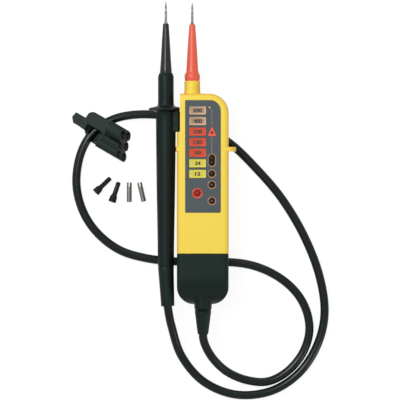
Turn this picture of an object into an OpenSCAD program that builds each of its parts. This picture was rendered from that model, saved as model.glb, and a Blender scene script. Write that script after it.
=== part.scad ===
// Two-pole voltage tester with its indicator handle, docked black probe, lead and slip-on accessories.
// Millimetres. It lies on its back with the probe tips towards +Y and the indicators facing +Z.
// The origin is on the surface it lies on, at the middle of the tester's outline without the lead.

/* [Handle] */
// Width of the handle
body_w = 41.4; // [40.4:0.2:42.4]
// Depth of the handle from back to front
body_d = 28; // [27:0.5:30]
// Length of the black end cap
cap_l = 40.7; // [39:0.1:42]
// Thickness of the moulded walls
wall = 2.2; // [2:0.1:2.4]
// Radius of the right top corner
top_r = 15.6; // [13:0.2:16]
// Radius of the two bottom corners
foot_r = 14; // [12:0.5:16]
// Radius along the front edges
front_r = 4; // [3:0.5:5]
// Radius along the back edges
back_r = 7; // [5:0.5:8]
// Reach of the finger guard beyond the side of the handle
guard_reach = 5.9; // [5:0.1:6.5]
// Thickness of the finger guard
guard_t = 3.6; // [3.4:0.2:4.6]

/* [Indicator panel] */
// Height of one voltage window
window_h = 6.7; // [6:0.1:7]
// Width of one voltage window
window_w = 13.4; // [12:0.2:14]
// Spacing of the voltage windows
window_pitch = 8.44; // [8.2:0.04:8.6]
// Radius of the round lamp holes
lamp_r = 2.5; // [2.2:0.1:2.8]
// Radius of the large red lamp hole
volts_r = 2.7; // [2.4:0.1:3]
// Thickness of the face panel
panel_t = 0.8; // [0.6:0.1:1]

/* [Probe tips] */
// Radius of the metal probe tips
tip_r = 1; // [0.9:0.05:1.1]
// Radius of the collar at the root of a tip
tip_collar_r = 1.35; // [1.3:0.05:1.5]

/* [Black probe] */
// Radius of the probe's finger guard
disc_r = 13.8; // [13:0.2:14.4]
// Radius of the front of the barrel
front_barrel_r = 6.3; // [6.1:0.1:6.4]
// Radius of the barrel below the finger guard
barrel_r = 8; // [7.6:0.1:8]
// Radius at the foot of the barrel
barrel_end_r = 6.45; // [6.3:0.05:6.7]
// Lean of the end sleeve, in degrees
sleeve_lean = 2.8; // [0:0.1:3]

/* [Lead] */
// Diameter of the lead
lead_d = 6.8; // [6.3:0.1:6.9]

/* [Accessories] */
// Length of a tip cap
tip_cap_l = 16.8; // [16:0.2:18]
// Radius of a tip cap's bell
bell_r = 3.2; // [2.9:0.05:3.4]
// Length of a slip-on adapter
adapter_l = 15.7; // [15:0.1:17]
// Radius of a slip-on adapter
adapter_r = 2; // [1.95:0.01:2]
// Spacing of the tubes of the accessory holder, across
tube_pitch = 8.1; // [7.8:0.1:8.2]
// Spacing of the two rows of tubes
row_pitch = 7.4; // [7.2:0.1:7.5]
// Radius of the bores of the tubes
tube_bore_r = 2.6; // [2.2:0.1:2.8]

/* [Hidden] */
$fn = 48;

yellow = "#f2c530";
black = "#23302d";
red = "#ea5a40";
steel = "#9a9c98";

// Places of the handle
body_x = 31;
body_top = 59.4;
body_bottom = -109.1;
back_z = lead_d + 0.1;
front_z = back_z + body_d;
split_z = back_z + body_d / 2;
left_x = body_x - body_w / 2;
right_x = body_x + body_w / 2;
cap_y = body_bottom + cap_l;
shoulder = 3;
seam_gap = 0.1;
guard_drop = 0.2;
far = 400;

// Dock on the left side of the handle
shelf_y = 28.8;
dock_step = 2.5;
dock_x = left_x + dock_step;
groove_neck = 1.3;
groove_depth = 2.9;
groove_wall = 1.6;
slide_gap = 0.3;

// Rounding seen from the side
end_front_r = 22;
sharp_r = 0.8;

// Nose, tip and relief axes
axis_z = split_z;
nose_x = 22.6;
probe_x = 1.5;
relief_x = 31.2;
neck_r = 6.3;
neck_y = 69.8;
red_tip_y = 132.2;
probe_tip_y = 133.2;
nose_end_y = 114.9;
guard_y = 15;

// Face panel
panel_left = 17;
panel_right = 45.4;
panel_top = 54.1;
panel_bottom = -35.8;
panel_r = 8.4;
window_x = 26.9;
window_y = 45.9;
lamp_x = 38.3;
twin_y = 6.1;
twin_half = 1.95;
upper_y = -4.6;
plus_y = -13.5;
minus_y = -26.3;
volts_x = 26.7;
volts_y = -20.2;
dot_x = 36.6;
dot_y = 48.3;
dot_r = 0.9;
triangle_y = 25.2;
triangle_h = 8.7;
triangle_w = 7.7;
lens_gap = 0.1;
lens_proud = 0.2;
ear = 0.9;
ear_t = 0.8;
ear_z = front_z - wall - 0.05 - ear_t;
mouth_w = 1;
mouth_t = 0.5;

// Inside the handle
board_z = split_z + 3.8;
board_t = 1.6;
led_top = ear_z - 0.35;
cell_r = 5.2;
cell_l = 44.5;
cell_y = -57;
cell_half = 5.4;
cell_z = back_z + 2.6 + cell_r;
tray_w = 2 * (cell_half + cell_r) + 0.6;
plate_t = 0.6;
plate_y = cell_y + cell_l + 0.1;
tray_top = plate_y + plate_t;
tray_bottom = cell_y - 2.6;
screw_xs = [15.7, 45.9];
screw_ys = [10, -62.5];
boss_r = 3.1;
boss_hole_r = 1.25;

// Battery door
door_w = 24;
door_top = -8;
door_bottom = -66;
door_t = 2;
door_gap = 0.2;
door_screw_y = -62.3;
door_screw_r = 1.5;
door_head_r = 3;

// Black probe
disc_y = 47.2;
rim_t = 1.6;
disc_t = 3.2;
barrel_top = 74.6;
barrel_end = -79;
sleeve_end = -110.6;
clip_bottom = shelf_y + 0.1;
clip_top = disc_y;
clip_z_half = 5.4;
tongue_bottom = 30;
tongue_top = 45.2;

// Strain relief
relief_top = -112.8;
relief_end = -133.2;
stub_r = 7;

// Radius of the tube of a tip cap, and the accessory holder in its own frame: x along the tubes, y across
cap_tube_r = 1.95;
holder_at = [-60.8, 34.4, 0];
holder_turn = -30;
tube_r = row_pitch / 2 + 0.2;
tube_mid = 0.3;
holder_h = row_pitch + 2 * tube_r;
bore_start = 20;
mouth_x = 34.9;
mouth_turn = 18.5;
mouth_slope = 30;
lead_room = lead_d + 0.5;
lip_t = 0.9;
lip_reach = 1.4;
tab_z = 5;
tab_t = 4;

// Route of the lead's middle, from the handle's strain relief to the black probe
rest_z = lead_d / 2;
lead_sides = 10;
lead_steps = 2;
route = [
    [31.2, -133.2, axis_z], [33.3, -142.5, 19.8], [40, -153.5, 15.5], [51, -163.5, 9],
    [66.5, -170, 4.5], [83.5, -171, rest_z], [99.5, -162.5, rest_z], [111.5, -147.5, rest_z],
    [116.5, -130, rest_z], [113.2, -112, rest_z], [103, -96.5, rest_z], [86.5, -84.3, rest_z],
    [66, -77, rest_z], [40, -75, rest_z], [12, -75, rest_z], [-14, -72.3, rest_z],
    [-36, -65.5, rest_z], [-54, -51.5, rest_z], [-65.5, -33.5, rest_z], [-70.3, -12, rest_z],
    [-67, 11, rest_z], [-57, 28.5, rest_z], [-40.5, 39.2, rest_z], [-20, 43, rest_z],
    [4, 41.3, rest_z], [29.5, 33.5, rest_z], [53, 19.7, rest_z], [74, -0.5, rest_z],
    [94, -24, rest_z], [111.5, -53, rest_z], [124, -84.5, rest_z], [128.7, -115, rest_z],
    [123, -141.5, rest_z], [108, -164.5, rest_z], [85, -179, rest_z], [57, -181.5, rest_z],
    [31.5, -171, 4], [14, -150.5, 8.5], [6, -126.5, 17], [3, -111, axis_z]
];

// A rectangle with its own radius at each corner: bottom left, bottom right, top right, top left
module corner_box(x0, y0, x1, y1, r) {
    difference() {
        translate([x0, y0]) square([x1 - x0, y1 - y0]);
        corner_cut(x0, y0, 1, 1, r[0]);
        corner_cut(x1, y0, -1, 1, r[1]);
        corner_cut(x1, y1, -1, -1, r[2]);
        corner_cut(x0, y1, 1, -1, r[3]);
    }
}

// What a round corner takes away; sx and sy point into the shape
module corner_cut(x, y, sx, sy, r) {
    difference() {
        translate([x - (sx > 0 ? 1 : r), y - (sy > 0 ? 1 : r)]) square(r + 1);
        translate([x + sx * r, y + sy * r]) circle(r);
    }
}

// Turns a profile of radius and length about an axis along +Y
module spin(x, z = axis_z) {
    translate([x, 0, z]) rotate([-90, 0, 0]) rotate_extrude() children();
}

// Runs a profile of x and z along +Y from y0 to y1
module along_y(y0, y1) {
    translate([0, y1, 0]) rotate([90, 0, 0]) linear_extrude(y1 - y0) children();
}

// Outline of the handle from the front, drawn in by gap, with the left side stepped back above the shelf
module plan(gap, step) {
    difference() {
        corner_box(
            left_x + gap, body_bottom + gap, right_x - gap, body_top - gap,
            [foot_r - gap, foot_r - gap, top_r - gap, sharp_r]
        );
        translate([left_x - 1, shelf_y - gap]) square([step + gap + 1, far]);
    }
}

// Cross-section of the handle, drawn in by gap
module section(gap) {
    rb = back_r - gap;
    rf = max(front_r - gap, 0.5);
    corner_box(left_x + gap, back_z + gap, right_x - gap, front_z - gap, [rb, rb, rf, rf]);
}

// Outline of the handle from the side, drawn in by gap
module profile(gap) {
    corner_box(
        body_bottom + gap, back_z + gap, body_top - gap, front_z - gap,
        [
            back_r - gap, back_r - gap,
            max(front_r - gap, 0.5), end_front_r - gap
        ]
    );
}

// What the rounded front and back edges take away round one corner of the outline
module corner_rim(sx, sy, r, gap) {
    rf = max(front_r - gap, 0.5);
    rb = back_r - gap;
    centre = [sx > 0 ? right_x - r : left_x + r, sy > 0 ? body_top - r : body_bottom + r, 0];
    intersection() {
        translate(centre) rotate_extrude() translate([r - gap, 0]) {
            difference() {
                translate([-rf, front_z - gap - rf]) square(rf + gap + 1);
                translate([-rf, front_z - gap - rf]) circle(rf);
            }
            difference() {
                translate([-rb, back_z - 1]) square(rb + gap + 1);
                translate([-rb, back_z + gap + rb]) circle(rb);
            }
        }
        translate(centre + [sx > 0 ? 0 : -far, sy > 0 ? 0 : -far, 0]) cube(far);
    }
}

// The body of the handle, drawn in by gap
module handle_form(gap, step) {
    difference() {
        intersection() {
            translate([0, 0, back_z]) linear_extrude(body_d) plan(gap, step);
            along_y(body_bottom, body_top) section(gap);
            translate([left_x, 0, 0]) rotate([90, 0, 90]) linear_extrude(body_w) profile(gap);
        }
        corner_rim(1, 1, top_r, gap);
        corner_rim(1, -1, foot_r, gap);
        corner_rim(-1, -1, foot_r, gap);
    }
}

// The part of a shape in front of the split, or behind it, between two heights along Y
module half_room(front, y0, y1) {
    translate([-far / 2, y0, front ? split_z : split_z - far]) cube([far, y1 - y0, far]);
}

module finger_guard() {
    gr = guard_t / 2;
    along_y(guard_y - gr, guard_y + gr) {
        corner_box(
            body_x, back_z + 5, right_x + guard_reach, front_z - guard_drop,
            [1, body_d / 2 - 4.6, 7, 1]
        );
        corner_box(left_x - 5.4, back_z + 5, body_x, axis_z - 1, [5, 1, 1, 1]);
        corner_box(left_x - 0.7, axis_z - 2, body_x, front_z - guard_drop, [0.5, 1, 1, 2]);
    }
}

// One of the two yellow mouldings, with its spigot for the end cap, half of the neck and its bosses
module shell_half(front) {
    cavity_step = dock_step + groove_depth + groove_wall - wall;
    difference() {
        union() {
            intersection() {
                union() {
                    handle_form(0, dock_step);
                    finger_guard();
                    spin(nose_x) polygon([[0, 50], [neck_r + 0.3, 50], [neck_r + 0.3, 60], [neck_r, 62],
                        [neck_r, neck_y], [0, neck_y]]);
                }
                half_room(front, cap_y, far / 2);
            }
            intersection() {
                handle_form(wall + seam_gap, dock_step);
                half_room(front, cap_y - 10, cap_y + 1);
            }
        }
        difference() {
            intersection() {
                handle_form(wall, cavity_step);
                half_room(front, cap_y + shoulder, far / 2);
            }
            translate([nose_x, far / 2, axis_z]) rotate([90, 0, 0]) cylinder(r = neck_r, h = far / 2 - 54);
        }
        intersection() {
            handle_form(2 * wall, dock_step);
            half_room(front, cap_y - 11, cap_y + shoulder + 1);
        }
        // bore of the neck
        translate([nose_x, far / 2, axis_z]) rotate([90, 0, 0]) cylinder(r = 3.2, h = far / 2 - 50);
        dock_groove();
        // room for the docked barrel
        translate([probe_x, guard_y + 10, axis_z]) rotate([90, 0, 0]) cylinder(r = barrel_r + 0.4, h = 20);
    }
}

// T-shaped groove in the left side, open at the top
module dock_groove() {
    along_y(tongue_bottom - slide_gap, body_top + 1) {
        translate([dock_x - 1, axis_z - 1.6]) square([2.5, 3.2]);
        translate([dock_x + groove_neck, axis_z - 2.9]) square([groove_depth - groove_neck, 5.8]);
    }
}

module screw_places() {
    for (x = screw_xs, y = screw_ys) translate([x, y, 0]) children();
}

module triangle(gap) {
    polygon([
        [lamp_x - triangle_w / 2 + gap, triangle_y + gap],
        [lamp_x + triangle_w / 2 - gap, triangle_y + gap],
        [lamp_x, triangle_y + triangle_h - 1.6 * gap]
    ]);
}

module window(i, gap) {
    translate([window_x - window_w / 2 + gap, window_y - i * window_pitch - window_h / 2 + gap])
        square([window_w - 2 * gap, window_h - 2 * gap]);
}

module pill(r) {
    translate([lamp_x - r, twin_y - twin_half]) square([2 * r, 2 * twin_half]);
    for (s = [-1, 1]) translate([lamp_x, twin_y + s * twin_half]) circle(r);
}

// Every opening in the face, drawn in by gap
module face_openings() {
    for (i = [0:6]) window(i, 0);
    triangle(0);
    translate([dot_x, dot_y]) circle(dot_r);
    pill(lamp_r);
    for (y = [upper_y, plus_y, minus_y]) translate([lamp_x, y]) circle(lamp_r);
    translate([volts_x, volts_y]) circle(volts_r);
}

module panel_outline(gap) {
    corner_box(
        panel_left + gap, panel_bottom + gap, panel_right - gap, panel_top - gap,
        [sharp_r, sharp_r, panel_r - gap, sharp_r]
    );
}

module front_shell() {
    color(yellow) {
        difference() {
            shell_half(true);
            translate([0, 0, front_z - panel_t]) linear_extrude(5) panel_outline(0);
            translate([0, 0, front_z - wall - 1]) linear_extrude(wall + 1) face_openings();
        }
        // screw bosses with their pilot holes
        screw_places() difference() {
            translate([0, 0, split_z]) cylinder(r = boss_r, h = front_z - wall + 0.1 - split_z);
            translate([0, 0, split_z - 1]) cylinder(r = boss_hole_r, h = 10);
        }
    }
}

module rear_shell() {
    color(yellow) {
        difference() {
            union() {
                shell_half(false);
                screw_places() translate([0, 0, back_z + 1]) cylinder(r = boss_r, h = split_z - back_z - 1);
                battery_tray();
            }
            screw_places() {
                translate([0, 0, back_z - 1]) cylinder(r = 2.8, h = 5);
                translate([0, 0, back_z]) cylinder(r = 1.4, h = far);
            }
            translate([body_x - door_w / 2 - door_gap, door_bottom - door_gap, back_z - 1])
                cube([door_w + 2 * door_gap, door_top - door_bottom + 2 * door_gap, 1 + door_t + 0.1]);
            translate([body_x - tray_w / 2, tray_bottom, back_z]) cube([tray_w, tray_top - tray_bottom, 5]);
            translate([body_x, door_screw_y, back_z]) cylinder(r = door_screw_r + 0.1, h = 11);
        }
    }
}

// Walls round the two cells, the ledge that the door closes on and the boss for its screw
module battery_tray() {
    translate([body_x, 0, 0]) {
        difference() {
            translate([-door_w / 2 - 1.4, door_bottom - 1.2, back_z + 1.6])
                cube([door_w + 2.8, door_top - door_bottom + 2.4, 2]);
            translate([-tray_w / 2, tray_bottom, back_z]) cube([tray_w, tray_top - tray_bottom, 10]);
        }
        difference() {
            translate([-tray_w / 2 - 1.2, tray_bottom - 1.2, back_z + 3.5])
                cube([tray_w + 2.4, tray_top - tray_bottom + 2.4, 11]);
            translate([-tray_w / 2, tray_bottom, back_z]) cube([tray_w, tray_top - tray_bottom, 20]);
        }
        translate([0, door_screw_y, back_z + 2]) cylinder(r = 2.8, h = 11);
    }
}

module end_cap() {
    color(black) difference() {
        union() {
            intersection() {
                handle_form(0, dock_step);
                translate([-far / 2, body_bottom - 1, 0]) cube([far, cap_l + 1, far]);
            }
            // stub that carries the strain relief, and the rib on its front
            translate([relief_x, body_bottom + 12, axis_z]) rotate([90, 0, 0])
                cylinder(r = stub_r, h = body_bottom + 12 - relief_top);
            translate([relief_x - 1, -98, axis_z + 4]) rotate([90, 0, 0])
                cylinder(r = 3.7, h = -98 - relief_top);
        }
        intersection() {
            handle_form(wall, dock_step);
            translate([-far / 2, body_bottom + 4, 0]) cube([far, cap_l - 3, far]);
        }
        translate([relief_x, -90, axis_z]) rotate([90, 0, 0]) cylinder(r = 4.6, h = 30);
    }
}

module strain_relief() {
    color(black) difference() {
        spin(relief_x) polygon([
            [0, relief_end], [4, relief_end], [4.3, relief_end + 0.8], [4.7, relief_end + 3.7],
            [5.4, relief_end + 9.2], [6.2, relief_end + 15.7], [6.7, relief_top], [4.55, relief_top],
            [4.55, relief_top + 6], [0, relief_top + 6]
        ]);
        // the flex slots behind the stub, front and back
        for (s = [-1, 1]) translate([relief_x - 3.9, relief_top - 2.6, axis_z + (s > 0 ? 4.6 : -9.6)])
            cube([7.8, 1.7, 5]);
    }
}

// Inlaid face with a sloped mouth round each lamp
module face_panel() {
    color("#565e60") difference() {
        translate([0, 0, front_z - panel_t + 0.02]) linear_extrude(panel_t - 0.02) difference() {
            panel_outline(0.1);
            face_openings();
        }
        for (y = [upper_y, plus_y, minus_y, twin_y - twin_half, twin_y + twin_half])
            lamp_mouth(lamp_x, y, lamp_r);
        lamp_mouth(volts_x, volts_y, volts_r + 0.6);
        along_y(twin_y - twin_half, twin_y + twin_half) translate([lamp_x, front_z]) polygon([
            [-lamp_r, -mouth_t], [lamp_r, -mouth_t], [lamp_r + mouth_w, 0.01], [-lamp_r - mouth_w, 0.01]
        ]);
    }
}

module lamp_mouth(x, y, r) {
    translate([x, y, front_z - mouth_t]) cylinder(r1 = r, r2 = r + mouth_w, h = mouth_t + 0.01);
}

// A window block with two ears that hold it behind the face
module window_lens(i, tint) {
    color(tint) {
        translate([0, 0, front_z - wall - 0.1]) linear_extrude(wall + 0.1 + lens_proud) window(i, lens_gap);
        translate([window_x - window_w / 2 - ear, window_y - i * window_pitch - 2.5, ear_z])
            cube([window_w + 2 * ear, 5, ear_t]);
    }
}

module triangle_lens() {
    color("#f06a30") {
        translate([0, 0, front_z - wall - 0.1]) linear_extrude(wall + 0.1 + lens_proud) triangle(lens_gap);
        translate([lamp_x - triangle_w / 2 + 0.2, triangle_y + 1, ear_z])
            cube([triangle_w - 0.2, 4, ear_t]);
    }
}

// A round lamp with a domed end and a flange behind the face
module round_lens(x, y, r, drop) {
    dome = r * 0.6;
    top = front_z - drop;
    translate([x, y, 0]) rotate_extrude() {
        translate([0, ear_z]) square([r + 0.5, ear_t]);
        translate([0, ear_z]) square([r - lens_gap, top - ear_z - dome]);
        intersection() {
            translate([0, top - dome - 0.01]) square([r, dome + 0.01]);
            translate([0, top - 1.13 * r]) circle(1.13 * r);
            translate([0, top - 2 * r]) square([r - lens_gap, 3 * r]);
        }
    }
}

module dot_lens() {
    color("#f4e27a") round_lens(dot_x, dot_y, dot_r, 0);
}

module twin_lamp_lens() {
    color("#3a2420") {
        for (s = [-1, 1]) round_lens(lamp_x, twin_y + s * twin_half, lamp_r - 0.2, 0.9);
        translate([0, 0, ear_z]) linear_extrude(ear_t) pill(lamp_r + 0.3);
    }
}

module lamp_lens(y) {
    color("#2a2422") round_lens(lamp_x, y, lamp_r, 0.9);
}

module volts_lamp_lens() {
    color("#8c1d16") round_lens(volts_x, volts_y, volts_r, 0.7);
}

module circuit_board() {
    color("#2f6b45") difference() {
        translate([0, 0, board_z]) linear_extrude(board_t)
            corner_box(18, -64, 48.4, 50, [2, 2, 12, 1]);
        screw_places() translate([0, 0, board_z - 1]) cylinder(r = boss_r + 0.3, h = 4);
    }
}

// A diode under each opening, all on one board
module indicator_leds() {
    z0 = board_z + board_t;
    h = led_top - z0;
    color("#d8d4c8") {
        for (i = [0:6]) translate([window_x - 2.5, window_y - i * window_pitch - 1.5, z0]) cube([5, 3, h]);
        translate([lamp_x - 1.5, triangle_y + 1, z0]) cube([3, 3, h]);
        translate([dot_x - 1, dot_y - 1, z0]) cube([2, 2, 2]);
        for (y = [twin_y - twin_half, twin_y + twin_half, upper_y, plus_y, minus_y])
            translate([lamp_x, y, z0]) cylinder(r = 1.5, h = h);
        translate([volts_x, volts_y, z0]) cylinder(r = 2, h = h);
    }
}

module buzzer() {
    color("#1d1d1d") translate([36, 38, board_z - 6.5]) difference() {
        cylinder(r = 6, h = 6.5);
        translate([0, 0, -1]) cylinder(r = 1, h = 2);
    }
}

module handle_resistor() {
    color("#b9a27a") spin(nose_x) polygon([
        [0, 34], [0.4, 34], [0.4, 37], [2, 38], [2, 49], [0.4, 50], [0.4, 53], [0, 53]
    ]);
}

// One cell lying along Y from y, its button end towards the side s
module cell(x, y, s) {
    color("#3c6fa8") translate([body_x + x, y + cell_l / 2, cell_z]) rotate([-90 * s, 0, 0])
        rotate_extrude() polygon([
            [0, -cell_l / 2], [cell_r - 0.4, -cell_l / 2], [cell_r, -cell_l / 2 + 0.4],
            [cell_r, cell_l / 2 - 1.4], [cell_r - 0.5, cell_l / 2 - 0.9], [1.9, cell_l / 2 - 0.9],
            [1.9, cell_l / 2], [0, cell_l / 2]
        ]);
}

// The springs on the flat ends of the cells, as cones: one on the end wall, one on the bridge plate
module battery_springs() {
    color(steel) {
        translate([body_x - cell_half, cell_y - 2.5, cell_z]) rotate([-90, 0, 0])
            cylinder(r1 = 4, r2 = 2.4, h = 2.4);
        translate([body_x + cell_half, plate_y - 0.05, cell_z]) rotate([90, 0, 0])
            cylinder(r1 = 4, r2 = 2.4, h = 1.7);
    }
}

// Bridge across both cells at the top, and the contact for the button end at the bottom
module battery_plate() {
    color(steel) {
        translate([body_x - 9.5, plate_y, cell_z - 4]) cube([19, plate_t, 8]);
        translate([body_x + cell_half - 4, tray_bottom + 0.1, cell_z - 4]) cube([8, plate_t, 8]);
    }
}

module case_screws() {
    color(steel) screw_places() difference() {
        union() {
            translate([0, 0, back_z + 2]) cylinder(r = 2.5, h = 2);
            translate([0, 0, back_z + 3]) cylinder(r = boss_hole_r - 0.02, h = split_z - back_z + 4);
        }
        for (a = [0, 90]) rotate(a) translate([-1.6, -0.35, back_z + 1]) cube([3.2, 0.7, 2]);
    }
}

// Cone and collar of the handle's own probe
module red_nose() {
    color(red) difference() {
        spin(nose_x) polygon([
            [0, nose_end_y], [1.9, nose_end_y], [2.4, nose_end_y - 0.7], [2.7, 110.4], [3.3, 102.4],
            [3.8, 94.4], [4.3, 86.4], [4.7, 78.6], [5, 76.8], [5.8, 75.4], [6.2, 73.6], [6.2, 72],
            [5.95, 70.4], [5.7, neck_y + 0.1], [3.1, neck_y + 0.1], [3.1, 60], [0, 60]
        ]);
        translate([nose_x, 59, axis_z]) rotate([-90, 0, 0]) cylinder(r = tip_r + 0.05, h = far / 4);
        // the seat of the collar
        translate([nose_x, nose_end_y - 0.6, axis_z]) rotate([-90, 0, 0])
            cylinder(r = tip_collar_r + 0.05, h = 5);
    }
}

// A pointed metal tip: round rod with a collar, a waist and a fine point at the length end_y
module metal_tip(x, end_y, nose_y) {
    spin(x) polygon([
        [0, nose_y - 20], [tip_r, nose_y - 20], [tip_r, nose_y - 0.55], [tip_collar_r, nose_y - 0.55],
        [tip_collar_r, nose_y + 1.5], [tip_r, nose_y + 1.8], [tip_r, end_y - 8], [0.62, end_y - 7.2],
        [0.6, end_y - 6.6], [0.92, end_y - 5.4], [0.85, end_y - 4.4], [0.55, end_y - 2], [0.16, end_y],
        [0, end_y]
    ]);
}

module red_tip() {
    color(steel) metal_tip(nose_x, red_tip_y, nose_end_y);
}

module probe_tip() {
    color(steel) metal_tip(probe_x, probe_tip_y, nose_end_y + 0.6);
}

module battery_door() {
    color(yellow) difference() {
        union() {
            translate([body_x, 0, back_z]) linear_extrude(door_t) corner_box(
                -door_w / 2, door_bottom, door_w / 2, door_top, [1.5, 1.5, 1.5, 1.5]
            );
            // locating rib between the cells
            translate([body_x - 0.8, cell_y + 2, back_z + door_t - 0.1]) cube([1.6, cell_l - 4, 0.6]);
        }
        // screw hole with its counterbore, and a finger recess at the other end
        translate([body_x, door_screw_y, back_z - 1]) cylinder(r = door_screw_r + 0.1, h = 5);
        translate([body_x, door_screw_y, back_z - 1]) cylinder(r = door_head_r + 0.2, h = 2);
        translate([body_x, door_top - 5, back_z - 4.4]) rotate([0, 90, 0])
            translate([0, 0, -6]) cylinder(r = 5.2, h = 12);
    }
}

module door_screw() {
    color(steel) translate([body_x, door_screw_y, back_z]) difference() {
        union() {
            translate([0, 0, 0.1]) cylinder(r = door_head_r, h = 0.9);
            cylinder(r = door_screw_r, h = 9);
        }
        translate([-far / 2, -0.5, -1]) cube([far, 1, 1.6]);
        translate([0, 0, -1]) cylinder(r = door_head_r + 1, h = 1.1);
    }
}

// Barrel with its finger guard disc and the clip that slides into the handle
module probe_barrel() {
    color(black) difference() {
        union() {
            spin(probe_x) polygon([
                [0, barrel_end], [barrel_end_r - 0.15, barrel_end], [barrel_end_r, barrel_end + 1],
                [barrel_end_r + 0.2, -58], [barrel_end_r + 0.8, -26], [barrel_r - 0.3, 6],
                [barrel_r - 0.05, 33], [barrel_r, disc_y - 3.8], [barrel_r + 0.6, disc_y - 2.6],
                [barrel_r + 2, disc_y - 1.9], [disc_r - 0.6, disc_y - rim_t / 2],
                [disc_r, disc_y - rim_t / 4], [disc_r, disc_y + rim_t / 4],
                [disc_r - 0.6, disc_y + rim_t / 2], [front_barrel_r + 2, disc_y + 1.9],
                [front_barrel_r + 0.6, disc_y + 2.4], [front_barrel_r + 0.1, disc_y + disc_t],
                [front_barrel_r, 72], [front_barrel_r, barrel_top - 1.4], [4.95, 77], [0, 77]
            ]);
            along_y(clip_bottom, clip_top)
                corner_box(probe_x, axis_z - clip_z_half, dock_x - 0.2, axis_z + clip_z_half, [1, 2, 2, 1]);
            along_y(tongue_bottom, tongue_top) {
                translate([dock_x - 1, axis_z - 1.3]) square([2.7, 2.6]);
                translate([dock_x + groove_neck + slide_gap, axis_z - 2.6]) square([1, 5.2]);
            }
        }
        // rail along the clip
        translate([probe_x + 6.9, clip_bottom - 1, axis_z + clip_z_half - 0.8])
            cube([0.9, clip_top - clip_bottom - 1.5, 2]);
        // the disc is cut flat beside the handle
        translate([dock_x - 0.2, tongue_top, 0]) cube([20, 30, 60]);
        translate([probe_x, barrel_end - 1, axis_z]) rotate([-90, 0, 0]) cylinder(r = 4.4, h = 150);
        translate([probe_x, barrel_end - 1, axis_z]) rotate([-90, 0, 0]) cylinder(r = 3, h = far / 2);
    }
}

module probe_nose() {
    y = nose_end_y + 0.6;
    color(black) difference() {
        spin(probe_x) polygon([
            [0, y], [1.9, y], [2.4, y - 0.7], [2.65, 110.4], [3.2, 102.4], [3.65, 94.4], [4.1, 86.4],
            [4.6, 79.4], [4.8, 77.1], [2.9, 77.1], [2.9, 70], [0, 70]
        ]);
        translate([probe_x, 69, axis_z]) rotate([-90, 0, 0]) cylinder(r = tip_r + 0.05, h = far / 4);
        translate([probe_x, y - 0.6, axis_z]) rotate([-90, 0, 0]) cylinder(r = tip_collar_r + 0.05, h = 5);
    }
}

// Sleeve at the foot of the probe, which leans a little towards the handle
module probe_end_sleeve() {
    l = barrel_end - 0.1 - sleeve_end;
    color(black) translate([probe_x, barrel_end - 0.1, axis_z]) rotate([90, 0, sleeve_lean])
        difference() {
            union() {
                rotate_extrude() polygon([
                    [0, 0.25], [barrel_end_r - 0.25, 0.25], [barrel_end_r - 0.35, 6], [5.4, l - 0.6],
                    [5.1, l], [0, l]
                ]);
                translate([0, 0, -5]) cylinder(r = 3.9, h = 6);
            }
            translate([0, 0, l - 3]) cylinder(r = lead_d / 2 + 0.2, h = 5);
        }
}

module probe_resistor() {
    color("#b9a27a") spin(probe_x) polygon([
        [0, 30], [0.4, 30], [0.4, 40], [2.4, 41], [2.4, 58], [0.4, 59], [0.4, 66], [0, 66]
    ]);
}

// Outline of the way that the lead takes through the holder, with room to slide
module lead_way() {
    polygon([
        [0.4, -15], [0.9, -8], [1.7, -4], [2.9, 0], [4.5, 4], [6.4, 8], [8.6, 12], [10.4, 15],
        [21, 15], [18.8, 12], [15.7, 8], [13.1, 4], [11.5, 0], [10.5, -4], [10, -8], [10, -15]
    ]);
}

// Moulded holder clipped over the lead, with tubes for the caps and adapters
module accessory_holder() {
    color(black) translate(holder_at) rotate(holder_turn) difference() {
        union() {
            linear_extrude(holder_h - 0.6) corner_box(-4.6, -10.6, 15, 11.6, [3, 1, 2, 5]);
            translate([0, 0, tab_z]) linear_extrude(tab_t)
                polygon([[0, -4.4], [-11.4, -4.4], [-14.6, -0.6], [-13.6, 4.2], [0, 4.2]]);
            for (i = [-1:1], k = [0, 1])
                translate([13, tube_mid + i * tube_pitch, tube_r + k * row_pitch]) rotate([0, 90, 0])
                    cylinder(r = tube_r, h = 35);
            // web between the tubes
            translate([13, tube_mid - tube_pitch, tube_r]) cube([35, 2 * tube_pitch, row_pitch]);
        }
        // slanted mouths of the tubes
        translate([mouth_x, 0, 4]) rotate([0, 0, mouth_turn]) rotate([0, -mouth_slope, 0])
            translate([0, -40, -40]) cube([40, 80, 80]);
        for (i = [-1:1], k = [0, 1])
            translate([bore_start, tube_mid + i * tube_pitch, tube_r + k * row_pitch]) rotate([0, 90, 0])
                cylinder(r = tube_bore_r, h = 40);
        // slope beside the tab, where the lead leaves
        translate([0, 0, -1]) linear_extrude(40)
            polygon([[-9, -4.6], [-1, -4.8], [1.1, -6.8], [3.4, -10], [3.4, -14], [-9, -14]]);
        // recess over the lead, open towards the long side
        translate([-0.5, -8, lip_t]) cube([13, 8.6, 30]);
        translate([0.6, -14, lip_t]) cube([9.6, 8, 30]);
        // channel for the lead above the two lips that hold it
        translate([0, 0, lip_t]) linear_extrude(lead_room - lip_t) lead_way();
        translate([0, 0, -1]) linear_extrude(2 + lip_t) offset(delta = -lip_reach) lead_way();
    }
}

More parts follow.
